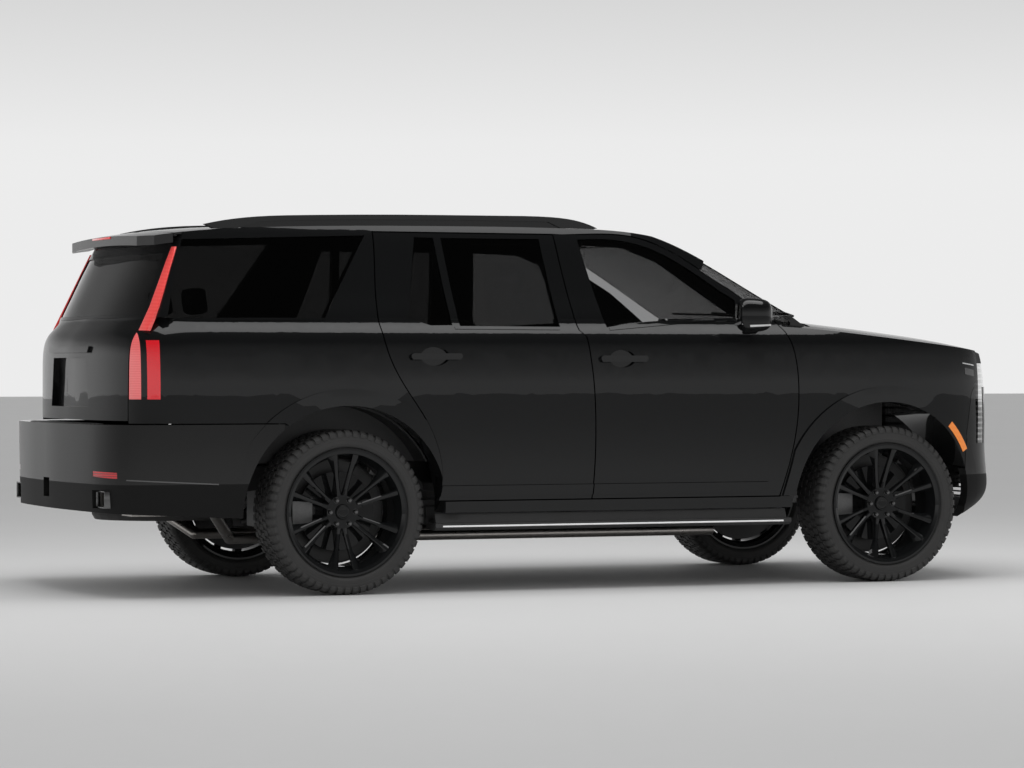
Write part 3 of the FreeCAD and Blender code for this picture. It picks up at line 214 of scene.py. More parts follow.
def tailLampFinish():
    # ribbed column, brighter column beside it and plain red side strip
    shader = Shader("tailLens")
    x, _, z = shader.axes()
    ribs = shader.node("ShaderNodeMath", {"operation": "SINE"}, {0: z * lamps["tailRibs"]}) * 0.5 + 0.5
    strip = x > lamps["sideStrip"]
    column = x < lamps["column"]
    deep, mid, hot = (0.09, 0.002, 0.004, 1), (0.45, 0.01, 0.014, 1), (0.70, 0.13, 0.13, 1)
    pair = shader.mix(column, shader.mix(ribs * 0.25, hot, mid), shader.mix(ribs * 0.8, mid, deep))
    tone = shader.mix(strip, pair, (0.55, 0.008, 0.015, 1))
    shader.set(colour=tone, roughness=0.12, coat=1.0, coatRoughness=0.02, glow=tone, glowStrength=0.18,
               normal=shader.bump(ribs, 0.2, 0.001))
    return shader.material


def headLampFinish():
    # pale light bars at the top, chrome steps down the blade
    shader = Shader("headLens")
    z = shader.axes()[2]
    steps = shader.node("ShaderNodeMath", {"operation": "SINE"}, {0: z * lamps["headSteps"]}) > 0.35
    lit = z > lamps["lightBars"]
    chrome = shader.mix(steps, grey(0.08), grey(0.45))
    bars = shader.mix(steps, grey(0.42), grey(0.6))
    shader.set(colour=shader.mix(lit, chrome, bars), roughness=0.1, metallic=0.6 - 0.6 * lit, coat=1.0,
               coatRoughness=0.01, glow=shader.mix(lit, grey(0.0), grey(0.9)), glowStrength=0.06,
               normal=shader.bump(steps, 0.2, 0.002))
    return shader.material


def mirrorFinish(name, base, roughness):
    shader = Shader(name)
    streaks = shader.noise(40.0, 3.0)
    shader.set(colour=shader.mix(streaks, grey(base * 0.92), grey(base)), metallic=1.0,
               roughness=roughness + 0.03 * shader.noise(7.0))
    return shader.material


def leatherFinish(name, base, warm=0.02):
    shader = Shader(name)
    cells = shader.node("ShaderNodeTexVoronoi", inputs={"Vector": shader.place, "Scale": 520.0})
    creases = shader.noise(60.0, 4.0)
    shader.set(colour=shader.mix(creases, grey(base * 0.8, warm), grey(base * 1.25, warm)),
               roughness=0.42 + 0.14 * creases, normal=shader.bump(cells, 0.3, 0.0008))
    return shader.material


finishes = {
    "black_paint": paintFinish("blackPaint", gloss["body"]),
    "dark_glass": glassFinish("privacyGlass", 0.09),
    "gloss_black_trim": paintFinish("glossTrim", 0.004, 0.03),
    "black_plastic": plasticFinish("satinPlastic", 0.022, 0.5),
    "tyre_rubber": rubberFinish("tyreRubber"),
    "black_wheel": paintFinish("glossWheel", 0.006, 0.03),
    "frame_steel": plasticFinish("frameCoat", 0.03, 0.45, 120.0, 0.3),
    "cast_metal": metalFinish("castMetal", 0.2, 0.55, 90.0, 0.4),
    "exhaust_steel": metalFinish("exhaustSteel", 0.4, 0.3, warm=0.05),
    "red_lamp": tailLampFinish(),
    "clear_lamp": headLampFinish(),
    "amber_lamp": lensFinish("amberLens", (0.65, 0.13, 0.01, 1), (0.85, 0.28, 0.03, 1),
                             (0.8, 0.2, 0.01, 1), 0.15),
    "seat_leather": leatherFinish("seatLeather", 0.035),
    "dash_trim": plasticFinish("dashTrim", 0.028, 0.6, 700.0, 0.4),
}
finishes.update({
    "dark_chrome": mirrorFinish("darkChrome", 0.14, 0.16),
    "bright_chrome": mirrorFinish("brightChrome", 0.86, 0.06),
    "mirror_glass": mirrorFinish("mirrorGlass", 0.8, 0.0),
    "stop_lamp": lensFinish("stopLens", (0.25, 0.004, 0.006, 1), (0.6, 0.02, 0.02, 1),
                            (0.5, 0.0, 0.0, 1), 0.6),
    "blade_lamp": lensFinish("bladeLens", (0.55, 0.02, 0.02, 1), (0.72, 0.10, 0.09, 1),
                             (0.6, 0.03, 0.03, 1), 0.25),
    "lamp_line": mirrorFinish("lampLine", 0.9, 0.2),
    "step_white": plasticFinish("stepWhite", 0.8, 0.25),
    "plate_grey": plasticFinish("plateGrey", 0.12, 0.35),
    "bumper": twoToneFinish("bumperPaint", gloss["body"], gloss["bumperSplit"]),
})
frontGlass = glassFinish("clearGlass", 0.28)
slotOf = {entry["node"]: entry["material_slot"] for entry in frame["record"]["subparts"]}
for nodeName, node in frame["nodes"].items():
    node.data.materials.clear()
    node.data.materials.append(finishes["bumper" if "bumper" in nodeName else slotOf[nodeName]])
for nodeName in ("windscreen", "door_glass_front_left", "door_glass_front_right"):
    frame["nodes"][nodeName].data.materials[0] = frontGlass
print("finishes on", len(slotOf), "nodes")


# Modelling helpers: each leaves Blender in object mode with nothing else selected
def clearSelection():
    if bpy.context.mode != "OBJECT":
        bpy.ops.object.mode_set(mode="OBJECT")
    bpy.ops.object.select_all(action="DESELECT")


def makeActive(piece):
    clearSelection()
    bpy.context.view_layer.objects.active = piece
    piece.select_set(True)


def pick(piece, test=None, kind="FACE"):
    # opens edit mode with only the faces (or vertices) that pass the test selected
    makeActive(piece)
    bpy.ops.object.mode_set(mode="EDIT")
    bpy.ops.mesh.select_mode(type=kind)
    bpy.ops.mesh.select_all(action="DESELECT")
    mesh = bmesh.from_edit_mesh(piece.data)
    for part in {"FACE": mesh.faces, "VERT": mesh.verts}[kind]:
        part.select_set(True if test is None else bool(test(part)))
    bmesh.update_edit_mesh(piece.data)


def bakeTransform(piece):
    makeActive(piece)
    bpy.ops.object.transform_apply(location=True, rotation=True, scale=True)


def recalculate(piece, merge=0.00005):
    pick(piece)
    bpy.ops.mesh.remove_doubles(threshold=merge)
    bpy.ops.mesh.normals_make_consistent(inside=False)
    clearSelection()


def modify(piece, kind, **settings):
    makeActive(piece)
    modifier = piece.modifiers.new(kind.title(), kind)
    for key, value in settings.items():
        setattr(modifier, key, value)
    bpy.ops.object.modifier_apply(modifier=modifier.name)


def startBlock(name, low, high):
    clearSelection()
    bpy.ops.mesh.primitive_cube_add(size=1.0, location=[(a + b) / 2 for a, b in zip(low, high)])
    piece = bpy.context.active_object
    piece.name = name
    piece.scale = [b - a for a, b in zip(low, high)]
    bakeTransform(piece)
    return piece


def startPlate(name, points, push):
    # flat outline through the points, pushed out along a vector
    clearSelection()
    bpy.ops.mesh.primitive_circle_add(vertices=len(points), radius=1.0, fill_type="NGON")
    piece = bpy.context.active_object
    piece.name = name
    for vertex, point in zip(piece.data.vertices, points):
        vertex.co = point
    pick(piece)
    bpy.ops.mesh.extrude_region_move(TRANSFORM_OT_translate={"value": push})
    clearSelection()
    recalculate(piece)
    return piece


def startTurned(name, section, steps):
    # closed section (along Y, radius) spun round the Y axis
    clearSelection()
    bpy.ops.mesh.primitive_circle_add(vertices=len(section), radius=1.0, fill_type="NOTHING")
    piece = bpy.context.active_object
    piece.name = name
    for vertex, (y, radius) in zip(piece.data.vertices, section):
        vertex.co = (0, y, radius)
    pick(piece, kind="VERT")
    bpy.ops.mesh.select_all(action="SELECT")
    bpy.ops.mesh.spin(steps=steps, angle=2 * math.pi, center=(0, 0, 0), axis=(0, 1, 0))
    clearSelection()
    recalculate(piece)
    return piece


def bevel(piece, width, segments=2, angle=30.0):
    modify(piece, "BEVEL", width=width, segments=segments, limit_method="ANGLE",
           angle_limit=math.radians(angle))


def copyTo(piece, name, move=(0, 0, 0), mirror=False, turn=None, scale=None):
    makeActive(piece)
    bpy.ops.object.duplicate()
    copy = bpy.context.active_object
    copy.name = name
    if scale:
        copy.scale = scale
    if turn:
        copy.rotation_euler = turn
    bakeTransform(copy)
    copy.location = move
    if mirror:
        bakeTransform(copy)
        copy.scale = (1, -1, 1)
    bakeTransform(copy)
    if mirror:
        recalculate(copy)
    return copy


def joinAll(pieces, name):
    clearSelection()
    for piece in pieces:
        piece.select_set(True)
    bpy.context.view_layer.objects.active = pieces[0]
    bpy.ops.object.join()
    joined = bpy.context.active_object
    joined.name = name
    return joined


def settle(piece, body, slot, finish=None, angle=35.0):
    bakeTransform(piece)
    bpy.ops.object.shade_smooth_by_angle(angle=math.radians(angle))
    piece.data.materials.clear()
    piece.data.materials.append(finish or finishes[slot])
    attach(piece, body)
    clearSelection()
    return piece


def settleBoth(piece, body, slot, finish=None, angle=35.0):
    # the piece is on the left and gets its mirrored twin; body may hold {side}
    name = piece.name
    other = copyTo(piece, name + ".right", mirror=True)
    piece.name = name + ".left"
    for side, item in (("left", piece), ("right", other)):
        settle(item, body.format(side=side), slot, finish, angle)
    return piece, other


# Tyres: sidewall rings and a tread of ribs cut into blocks
tyre = {"radius": 0.417, "base": 0.4092, "halfWidth": 0.1425, "blocks": 60, "rise": 0.0074,
        "crownDrop": 0.0016, "blockFoot": 0.385, "edges": (0.118, 0.082, 0.073, 0.031, 0.022)}
wheelSpots = {"front_left": (1.705, 0.8685, 0.417), "front_right": (1.705, -0.8685, 0.417),
              "rear_left": (-1.366, 0.8685, 0.417), "rear_right": (-1.366, -0.8685, 0.417)}


def addTyres():
    wall = [(0.1222, 0.3072), (0.1222, 0.3240), (0.1300, 0.3290), (0.1375, 0.3400), (0.1385, 0.3430),
            (0.1398, 0.3440), (0.1412, 0.3560), (0.1404, 0.3640), (0.1412, 0.3655), (0.1402, 0.3790),
            (0.1360, 0.3930), (0.1270, 0.4040)]
    shoulder, grooveOut, grooveIn, slotOut, slotIn = tyre["edges"]
    crown = [(y, tyre["base"] - tyre["crownDrop"] * (y / shoulder) ** 2) for y in tyre["edges"]]
    side = wall + crown
    section = side + [(-y, radius) for y, radius in reversed(side)]
    steps = tyre["blocks"] * 3
    piece = startTurned("tyre", section, steps)
    step = 2 * math.pi / steps

    def inBlock(face):
        centre = face.calc_center_median()
        radius = math.hypot(centre.x, centre.z)
        y = abs(centre.y)
        place = int((math.atan2(centre.z, centre.x) + math.pi) / step)
        if radius < tyre["blockFoot"] or grooveIn < y < grooveOut or slotIn < y < slotOut:
            return False
        shift = 0 if y < slotIn else 1 if y < grooveIn else (0 if centre.y > 0 else 2)
        return (place + shift) % 3 != 0

    pick(piece, inBlock)
    bpy.ops.mesh.extrude_region_shrink_fatten(TRANSFORM_OT_shrink_fatten={"value": tyre["rise"]})
    clearSelection()
    reach = max(math.hypot(v.co.x, v.co.z) for v in piece.data.vertices)
    print("tyre reach", round(reach, 4), "width", round(max(v.co.y for v in piece.data.vertices), 4))
    for vertex in piece.data.vertices:
        radius = math.hypot(vertex.co.x, vertex.co.z)
        limit = min(1.0, (tyre["radius"] - 0.0002) / radius)
        vertex.co.x *= limit
        vertex.co.z *= limit
        vertex.co.y = max(-tyre["halfWidth"], min(tyre["halfWidth"], vertex.co.y))
    for place, spot in wheelSpots.items():
        copy = copyTo(piece, "tread." + place, move=spot)
        settle(copy, "wheel_" + place, "tyre_rubber", angle=30)
        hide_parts("tyre_" + place)
    bpy.data.objects.remove(piece)


# Wheel fittings: six bolts and a plain cap ring
bolts = {"count": 6, "circle": 0.0675, "radius": 0.0102, "face": 0.0625, "depth": 0.018, "turn": 30.0}


def addWheelFittings():
    clearSelection()
    middle = (0, bolts["face"] + bolts["depth"] / 2, bolts["circle"])
    bpy.ops.mesh.primitive_cylinder_add(vertices=6, radius=bolts["radius"], depth=bolts["depth"],
                                        location=middle, rotation=(math.pi / 2, 0, 0))
    nut = bpy.context.active_object
    bakeTransform(nut)
    pick(nut, lambda face: face.normal.y > 0.9)
    bpy.ops.mesh.inset(thickness=0.0028)
    bpy.ops.mesh.extrude_region_move(TRANSFORM_OT_translate={"value": (0, 0.003, 0)})
    bpy.ops.mesh.inset(thickness=0.002)
    clearSelection()
    seat = startTurned("seat", [(0, 0.0108), (0, 0.0150), (0.004, 0.0150), (0.0052, 0.0135),
                                (0.0036, 0.0108)], 20)
    seat.location = (0, bolts["face"] - 0.002, bolts["circle"])
    bakeTransform(seat)
    one = joinAll([nut, seat], "bolt")
    bevel(one, 0.0008, 2)
    ring = [one]
    for i in range(1, bolts["count"]):
        ring.append(copyTo(one, "bolt", turn=(0, i * 2 * math.pi / bolts["count"], 0)))
    bpy.context.view_layer.update()
    nuts = joinAll(ring, "bolts")
    nuts.rotation_euler = (0, math.radians(bolts["turn"]), 0)
    bakeTransform(nuts)
    cap = startTurned("cap", [(0.0700, 0.0004), (0.0745, 0.0004), (0.0752, 0.0180), (0.0742, 0.0265),
                              (0.0756, 0.0280), (0.0762, 0.0320), (0.0744, 0.0350), (0.0700, 0.0352)], 48)
    bevel(cap, 0.0004, 1)
    for place, spot in wheelSpots.items():
        left = spot[1] > 0
        for piece, name, slot in ((nuts, "bolts.", "cast_metal"), (cap, "cap.", "gloss_black_trim")):
            copy = copyTo(piece, name + place, turn=(0, 0, 0 if left else math.pi), move=spot)
            settle(copy, "wheel_" + place, slot, finishes["dark_chrome"] if slot == "cast_metal" else None)
    bpy.data.objects.remove(nuts)
    bpy.data.objects.remove(cap)


# Door mirrors: a smooth shell that replaces the frame's faceted one, its glass and bright strip
mirror = {"centre": (0.857, 1.118, 1.4205), "half": (0.103, 0.0735, 0.0905)}


def addMirrors():
    cx, cy, cz = mirror["centre"]
    hx, hy, hz = mirror["half"]
    shell = startBlock("mirrorShell", (cx - hx, cy - hy, cz - hz), (cx + hx, cy + hy, cz + hz))
    pick(shell)
    bpy.ops.mesh.subdivide(number_cuts=5)
    clearSelection()
    for vertex in shell.data.vertices:
        u, v, w = [(a - c) / h for a, c, h in zip(vertex.co, mirror["centre"], mirror["half"])]
        ball = Vector((u, v, w))
        power = (abs(u) ** 3.6 + abs(v) ** 3.2 + abs(w) ** 3.6) ** (1 / 3.5)
        scale = max(abs(u), abs(v), abs(w)) / max(power, 0.001)
        ball *= scale
        narrow = 1 - 0.20 * max(0.0, ball.y) - 0.10 * max(0.0, -ball.y)
        vertex.co = (cx + ball.x * hx * (0.97 if ball.x < 0 else narrow) - 0.012 * max(0.0, ball.y),
                     cy + ball.y * hy, cz + ball.z * hz * narrow - 0.006 * ball.x * ball.z)
    modify(shell, "SUBSURF", levels=1, render_levels=1)
    pick(shell, lambda face: face.normal.x < -0.93)
    bpy.ops.mesh.inset(thickness=0.006)
    bpy.ops.mesh.extrude_region_move(TRANSFORM_OT_translate={"value": (0.009, 0, 0)})
    clearSelection()
    outline = [(-0.062, -0.064), (0.060, -0.058), (0.060, -0.046), (-0.062, -0.050)]
    strip = startPlate("mirrorStrip", [(cx + x, cy + 0.052, cz + z) for x, z in outline], (0, 0.019, 0))
    bevel(strip, 0.0015, 2)
    foot = startPlate("mirrorFoot", [(0.838, 1.000, 1.320), (0.922, 1.000, 1.320), (0.910, 1.112, 1.352),
                                     (0.850, 1.112, 1.350)], (-0.002, 0.0, 0.042))
    bevel(foot, 0.008, 3)
    shell = joinAll([shell, foot], "mirrorShell")
    paneX = cx - hx * 0.97 + 0.006
    outline = [(-0.046, -0.056), (0.046, -0.052), (0.050, 0.048), (-0.040, 0.058)]
    glass = startPlate("mirrorGlass", [(paneX, cy + y, cz + z) for y, z in outline], (0.003, 0, 0))
    bevel(glass, 0.006, 3, 60)
    for side, item in zip(("left", "right"), settleBoth(shell, "door_front_{side}", "gloss_black_trim")):
        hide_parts("mirror_" + side)
    settleBoth(strip, "door_front_{side}", "clear_lamp", finishes["bright_chrome"])
    settleBoth(glass, "door_front_{side}", "dark_glass", finishes["mirror_glass"])


# Side steps: bright strip along the edge and ribbed tread pads
steps = {"front": 1.083, "rear": -0.851, "stripLow": 0.3330, "stripHigh": 0.3415, "ribs": 7,
         "firstRib": 0.874, "pitch": 0.0175, "ribWidth": 0.009, "ribLow": 0.3518, "ribHigh": 0.3556}


def addSteps():
    strip = startBlock("stepStrip", (steps["rear"], 1.0030, steps["stripLow"]),
                       (steps["front"], 1.0066, steps["stripHigh"]))
    bevel(strip, 0.0014, 3)
    settleBoth(strip, "body", "exhaust_steel", finishes["step_white"])
    ribs = []
    for i in range(steps["ribs"]):
        y = steps["firstRib"] + steps["pitch"] * i
        ribs.append(startBlock("rib", (steps["rear"] - 0.02, y, steps["ribLow"]),
                               (steps["front"] + 0.02, y + steps["ribWidth"], steps["ribHigh"])))
    pad = joinAll(ribs, "stepPad")
    bevel(pad, 0.0012, 2)
    settleBoth(pad, "body", "tyre_rubber")


# Rear end: blank plate and its holder
rear = {"plateX": -2.4995, "plateZ": (1.000, 1.152), "plateY": 0.152, "holderY": 0.166, "rim": 0.012}


def addRearPieces():
    low, high = rear["plateZ"]
    x, y = rear["plateX"], rear["plateY"]
    plate = startPlate("blankPlate", [(x - 0.001, -y, low), (x - 0.001, y, low), (x + 0.001, y, high),
                                      (x + 0.001, -y, high)], (0.004, 0, 0))
    pick(plate, lambda face: face.normal.x < -0.9)
    bpy.ops.mesh.inset(thickness=0.006)
    bpy.ops.mesh.extrude_region_move(TRANSFORM_OT_translate={"value": (0.0012, 0, 0)})
    clearSelection()
    bevel(plate, 0.0008, 2)
    settle(plate, "tailgate", "black_plastic", finishes["plate_grey"])
    holder = startBlock("plateHolder", (x + 0.002, -rear["holderY"], low - rear["rim"]),
                        (x + 0.030, rear["holderY"], high + rear["rim"]))
    bevel(holder, 0.003, 2)
    settle(holder, "tailgate", "black_plastic")


print("helpers ready")
addTyres()
addWheelFittings()
addMirrors()
addSteps()
addRearPieces()
print("outer fittings made")


def startBar(name, points, radius, sides=2):
    # round bar along a smooth path through five or more points
    clearSelection()
    bpy.ops.curve.primitive_nurbs_path_add()
    piece = bpy.context.active_object
    piece.name = name
    spline = piece.data.splines[0]
    spline.points.add(len(points) - len(spline.points))
    for point, place in zip(spline.points, points):
        point.co = (*place, 1.0)
    spline.order_u = 3
    spline.use_endpoint_u = True
    piece.data.bevel_depth = radius
    piece.data.bevel_resolution = sides
    piece.data.use_fill_caps = True
    spline.resolution_u = 4
    makeActive(piece)
    bpy.ops.object.convert(target="MESH")
    piece = bpy.context.active_object
    recalculate(piece)
    return piece


# Upholstery: each pad is blown up a little as cloth, then gets its sewn channels
pads = {"voxel": 0.011, "pressure": 4.0, "cap": 0.022, "frames": 20, "channel": 0.0045, "width": 0.006}


def inflate(piece, cap):
    modify(piece, "REMESH", mode="VOXEL", voxel_size=pads["voxel"], use_smooth_shade=True)
    start = [vertex.co.copy() for vertex in piece.data.vertices]
    makeActive(piece)
    cloth = piece.modifiers.new("cloth", "CLOTH")
    cloth.settings.quality = 4
    cloth.settings.mass = 0.3
    cloth.settings.use_pressure = True
    cloth.settings.uniform_pressure_force = pads["pressure"]
    cloth.settings.effector_weights.gravity = 0.0
    cloth.point_cache.frame_start = 1
    cloth.point_cache.frame_end = pads["frames"]
    for tick in range(1, pads["frames"] + 1):
        scene.frame_set(tick)
    bpy.ops.object.modifier_apply(modifier=cloth.name)
    drift = sum((v.co - s for v, s in zip(piece.data.vertices, start)), Vector()) / len(start)
    for vertex, place in zip(piece.data.vertices, start):
        move = vertex.co - place - drift
        if move.length > cap:
            move *= cap / move.length
        vertex.co = place + move
    scene.frame_set(1)
    modify(piece, "SUBSURF", levels=1, render_levels=1)


def sew(piece, lines, facing):
    # presses narrow channels into what looks along facing; lines gives the distance to a seam
    normals = [vertex.normal.copy() for vertex in piece.data.vertices]
    for vertex, normal in zip(piece.data.vertices, normals):
        strength = max(0.0, normal.dot(facing)) ** 0.5
        gap = lines(vertex.co)
        vertex.co -= normal * strength * pads["channel"] * math.exp(-(gap / pads["width"]) ** 2)


def padFrom(name, low, high, cap, corner=0.035):
    piece = startBlock(name, low, high)
    pick(piece)
    bpy.ops.mesh.subdivide(number_cuts=3)
    clearSelection()
    bevel(piece, corner, 4, 60)
    inflate(piece, cap)
    return piece


seat = {"lean": 21.0, "headLean": 8.0, "baseHalf": 0.205, "shellHalf": 0.19, "postGap": 0.055,
        "cushion": ((0.006, -0.258, 0.168), (0.535, 0.258, 0.272)),
        "back": ((-0.040, -0.256, 0.0), (0.045, 0.256, 0.435)),
        "head": ((-0.034, -0.120, 0.0), (0.034, 0.120, 0.130))}
rows = {"front_seats": {"x": 0.110, "z": 0.500, "ys": (-0.400, 0.400), "wide": 1.0},
        "middle_seats": {"x": -0.780, "z": 0.500, "ys": (-0.400, 0.400), "wide": 0.97},
        "rear_bench": {"x": -1.790, "z": 0.680, "ys": (-0.300, 0.300), "wide": 1.16}}


def nearest(value, places):
    return min(abs(value - place) for place in places)


def seams(across, height, edge, places):
    # two long seams at the edge and cross seams between them
    return min(nearest(abs(across), (edge,)), nearest(height, places) if abs(across) < edge else 1.0)


def addSeats():
    began = time.time()
    cushion = padFrom("cushion", *seat["cushion"], pads["cap"])
    sew(cushion, lambda p: seams(p.y, p.x, 0.148, (0.13, 0.21, 0.29, 0.37)), Vector((0, 0, 1)))
    back = padFrom("back", *seat["back"], pads["cap"])
    sew(back, lambda p: seams(p.y, p.z, 0.150, (0.09, 0.17, 0.25, 0.33)), Vector((1, 0, 0)))
    head = padFrom("head", *seat["head"], pads["cap"] * 0.6, 0.025)
    sew(head, lambda p: nearest(abs(p.y), (0.09,)), Vector((1, 0, 0)))
    print("pads simulated in", round(time.time() - began, 1), "s")
    post = startTurned("post", [(0, 0.0), (0, 0.006), (0.075, 0.006), (0.075, 0.0)], 12)
    lean = (0, -math.radians(seat["lean"]), 0)
    for row, place in rows.items():
        x, z, wide = place["x"], place["z"], place["wide"]
        for y in place["ys"]:
            tag = row + (".right" if y < 0 else ".left")
            pieces = [copyTo(cushion, "cushion." + tag, (x, y, z), scale=(1, wide, 1)),
                      copyTo(back, "backrest." + tag, (x + 0.035, y, z + 0.290), turn=lean,
                             scale=(1, wide, 1)),
                      copyTo(head, "headrest." + tag, (x - 0.150, y, z + 0.742),
                             turn=(0, -math.radians(seat["headLean"]), 0))]
            for piece in pieces:
                settle(piece, "body", "seat_leather", angle=60)
                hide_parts(row)
            half = seat["baseHalf"] * wide
            base = startBlock("seatBase." + tag, (x + 0.070, y - half, z + 0.0006),
                              (x + 0.440, y + half, z + 0.165))
            pick(base, lambda face: face.normal.z > 0.9)
            bpy.ops.transform.resize(value=(1.12, 1.08, 1.0))
            clearSelection()
            bevel(base, 0.012, 2)
            settle(base, "body", "dash_trim")
            half = seat["shellHalf"] * wide
            shell = startPlate("seatShell." + tag, [(x - 0.018, y - half, z + 0.27),
                                                    (x - 0.018, y + half, z + 0.27),
                                                    (x - 0.176, y + half, z + 0.665),
                                                    (x - 0.176, y - half, z + 0.665)], (0.022, 0, 0.004))
            bevel(shell, 0.008, 2)
            settle(shell, "body", "dash_trim")
            posts = []
            for dy in (-seat["postGap"], seat["postGap"]):
                posts.append(copyTo(post, "headPost", (x - 0.135, y + dy, z + 0.672),
                                    turn=(math.pi / 2, 0, 0)))
            posts = joinAll(posts, "headPosts." + tag)
            settle(posts, "body", "exhaust_steel", finishes["bright_chrome"])
    for piece in (cushion, back, head, post):
        bpy.data.objects.remove(piece)


# Steering wheel: leather rim, spokes and hub on the tilted column
wheel = {"centre": (0.660, 0.400, 1.030), "tilt": 24.0, "radius": 0.182, "grip": 0.0145}


def addSteeringWheel():
    c, s = math.cos(math.radians(wheel["tilt"])), math.sin(math.radians(wheel["tilt"]))
    place = Matrix(((0, -c, s), (1, 0, 0), (0, s, c)))
    section = [(wheel["grip"] * math.sin(a), wheel["radius"] + wheel["grip"] * math.cos(a))
               for a in [2 * math.pi * i / 14 for i in range(14)]]
    ring = startTurned("steeringRim", section, 72)
    hub = startTurned("hubPad", [(-0.018, 0.0002), (-0.018, 0.052), (0.000, 0.060), (0.012, 0.056),
                                 (0.018, 0.044), (0.021, 0.0002)], 40)
    column = startTurned("column", [(-0.118, 0.0002), (-0.118, 0.024), (-0.020, 0.024),
                                    (-0.020, 0.0002)], 28)
    spokes = [hub, column]
    for turn in (90, -90, 180):
        spoke = startPlate("spoke", [(-0.016, -0.004, 0.050), (0.016, -0.004, 0.050), (0.012, 0.000, 0.176),
                                     (-0.012, 0.000, 0.176)], (0, 0.010, 0))
        bevel(spoke, 0.002, 2)
        spoke.rotation_euler = (0, math.radians(turn), 0)
        bakeTransform(spoke)
        spokes.append(spoke)
    middle = joinAll(spokes, "steeringHub")
    for piece in (ring, middle):
        piece.matrix_world = Matrix.Translation(wheel["centre"]) @ place.to_4x4()
    settle(ring, "steering_wheel", "dash_trim", finishes["seat_leather"], 60)
    settle(middle, "steering_wheel", "dash_trim")
    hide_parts("steering_wheel")
    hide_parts("steering_wheel")


# Dash: wide screen, air vents, and the selector and lid on the console
dash = {"screenLow": 1.052, "screenHigh": 1.172, "vents": 9, "ventLow": 0.985, "ventHigh": 1.026}


def addDash():
    low, high = dash["screenLow"], dash["screenHigh"]
    screen = startPlate("dashScreen", [(0.858, -0.300, low), (0.858, 0.660, low), (0.888, 0.650, high),
                                       (0.888, -0.290, high)], (0.014, 0, -0.003))
    pick(screen, lambda face: face.normal.x < -0.9)
    bpy.ops.mesh.inset(thickness=0.006)
    bpy.ops.mesh.extrude_region_move(TRANSFORM_OT_translate={"value": (0.0015, 0, 0)})
    clearSelection()
    bevel(screen, 0.002, 2)
    settle(screen, "body", "dash_trim", finishes["gloss_black_trim"])
    for tag, low, high in (("left", 0.56, 0.74), ("middle", -0.17, 0.17), ("right", -0.74, -0.56)):
        slats = []
        for i in range(dash["vents"]):
            y = low + (high - low) * i / (dash["vents"] - 1)
            foot, top = dash["ventLow"], dash["ventHigh"]
            slats.append(startPlate("slat", [(0.7955, y, foot), (0.7955, y + 0.004, foot),
                                             (0.812, y + 0.004, top), (0.812, y, top)],
                                    (-0.006, 0, 0.002)))
        slats = joinAll(slats, "dashVent." + tag)
        settle(slats, "body", "dash_trim", finishes["dark_chrome"])
    knob = startBlock("selector", (0.42, -0.022, 0.799), (0.50, 0.022, 0.834))
    bevel(knob, 0.008, 3)
    settle(knob, "body", "dash_trim", finishes["dark_chrome"])
    rest = startBlock("consoleLid", (0.075, -0.112, 0.7995), (0.330, 0.112, 0.835))
    bevel(rest, 0.014, 4)
    settle(rest, "body", "seat_leather")


# Door trims: arm rests on the inner faces
armRests = {"front": (0.20, 0.78), "rear": (-0.78, -0.30)}


def addArmRests():
    for place, (x0, x1) in armRests.items():
        rest = startPlate("armRest." + place, [(x0, 0.952, 0.905), (x1, 0.952, 0.905),
                                               (x1 + 0.03, 0.952, 0.965), (x0, 0.952, 0.945)],
                          (0, -0.052, 0))
        bevel(rest, 0.012, 3)
        settleBoth(rest, "door_" + place + "_{side}", "dash_trim")


# Wipers lie along the foot of the windscreen
wiper = {"spans": ((-0.62, 0.02), (0.04, 0.70)), "lift": 0.010, "blade": 0.0055, "arm": 0.0060}


def screenPoint(y, z):
    # outer face of the windscreen near its foot
    rise = (z - 1.425) / (1.500 - 1.425)
    x = 1.392 + (1.247 - 1.392) * rise - 0.112 * abs(y / 0.7) ** 2.2
    return Vector((x + wiper["lift"], y, z))


def addWipers():
    for tag, (y0, y1) in zip(("right", "left"), wiper["spans"]):
        path = [screenPoint(y0 + (y1 - y0) * i / 7, 1.436 + 0.020 * i / 7) for i in range(8)]
        rubber = startBar("wiperBlade." + tag, path, wiper["blade"])
        path = [screenPoint(y0 + 0.02, 1.424) + Vector((0.022, 0, 0))]
        for i in range(1, 6):
            foot = screenPoint(y0 + (y1 - y0) * 0.52 * i / 5, 1.430 + 0.024 * i / 5)
            path.append(foot + Vector((0.013, 0, 0.004)))
        arm = startBar("wiperArm." + tag, path, wiper["arm"])
        settle(rubber, "body", "tyre_rubber")
        settle(arm, "body", "black_plastic")


# Grille web: upright fins between the level bars
web = {"fins": 44, "high": 1.120, "reach": 0.53, "thick": 0.0016}


def addGrilleWeb():
    fins = []
    for i in range(web["fins"]):
        y = -web["reach"] + 2 * web["reach"] * i / (web["fins"] - 1)
        taper = abs(y) / 0.56
        low, high = 0.742 if abs(y) < 0.50 else 0.86, web["high"]
        x = 2.5365 - 0.030 * taper ** 2 - 0.100 * max(0.0, taper - 0.45) ** 2
        near, far = y - web["thick"], y + web["thick"]
        fins.append(startPlate("fin", [(x, near, low), (x, far, low), (x, far, high), (x, near, high)],
                               (-0.030, 0, 0)))
    fins = joinAll(fins, "grilleFins")
    settle(fins, "body", "gloss_black_trim", finishes["dark_chrome"])


addSeats()
addSteeringWheel()
addDash()
addArmRests()
addWipers()
addGrilleWeb()
print("cabin and front fittings made")


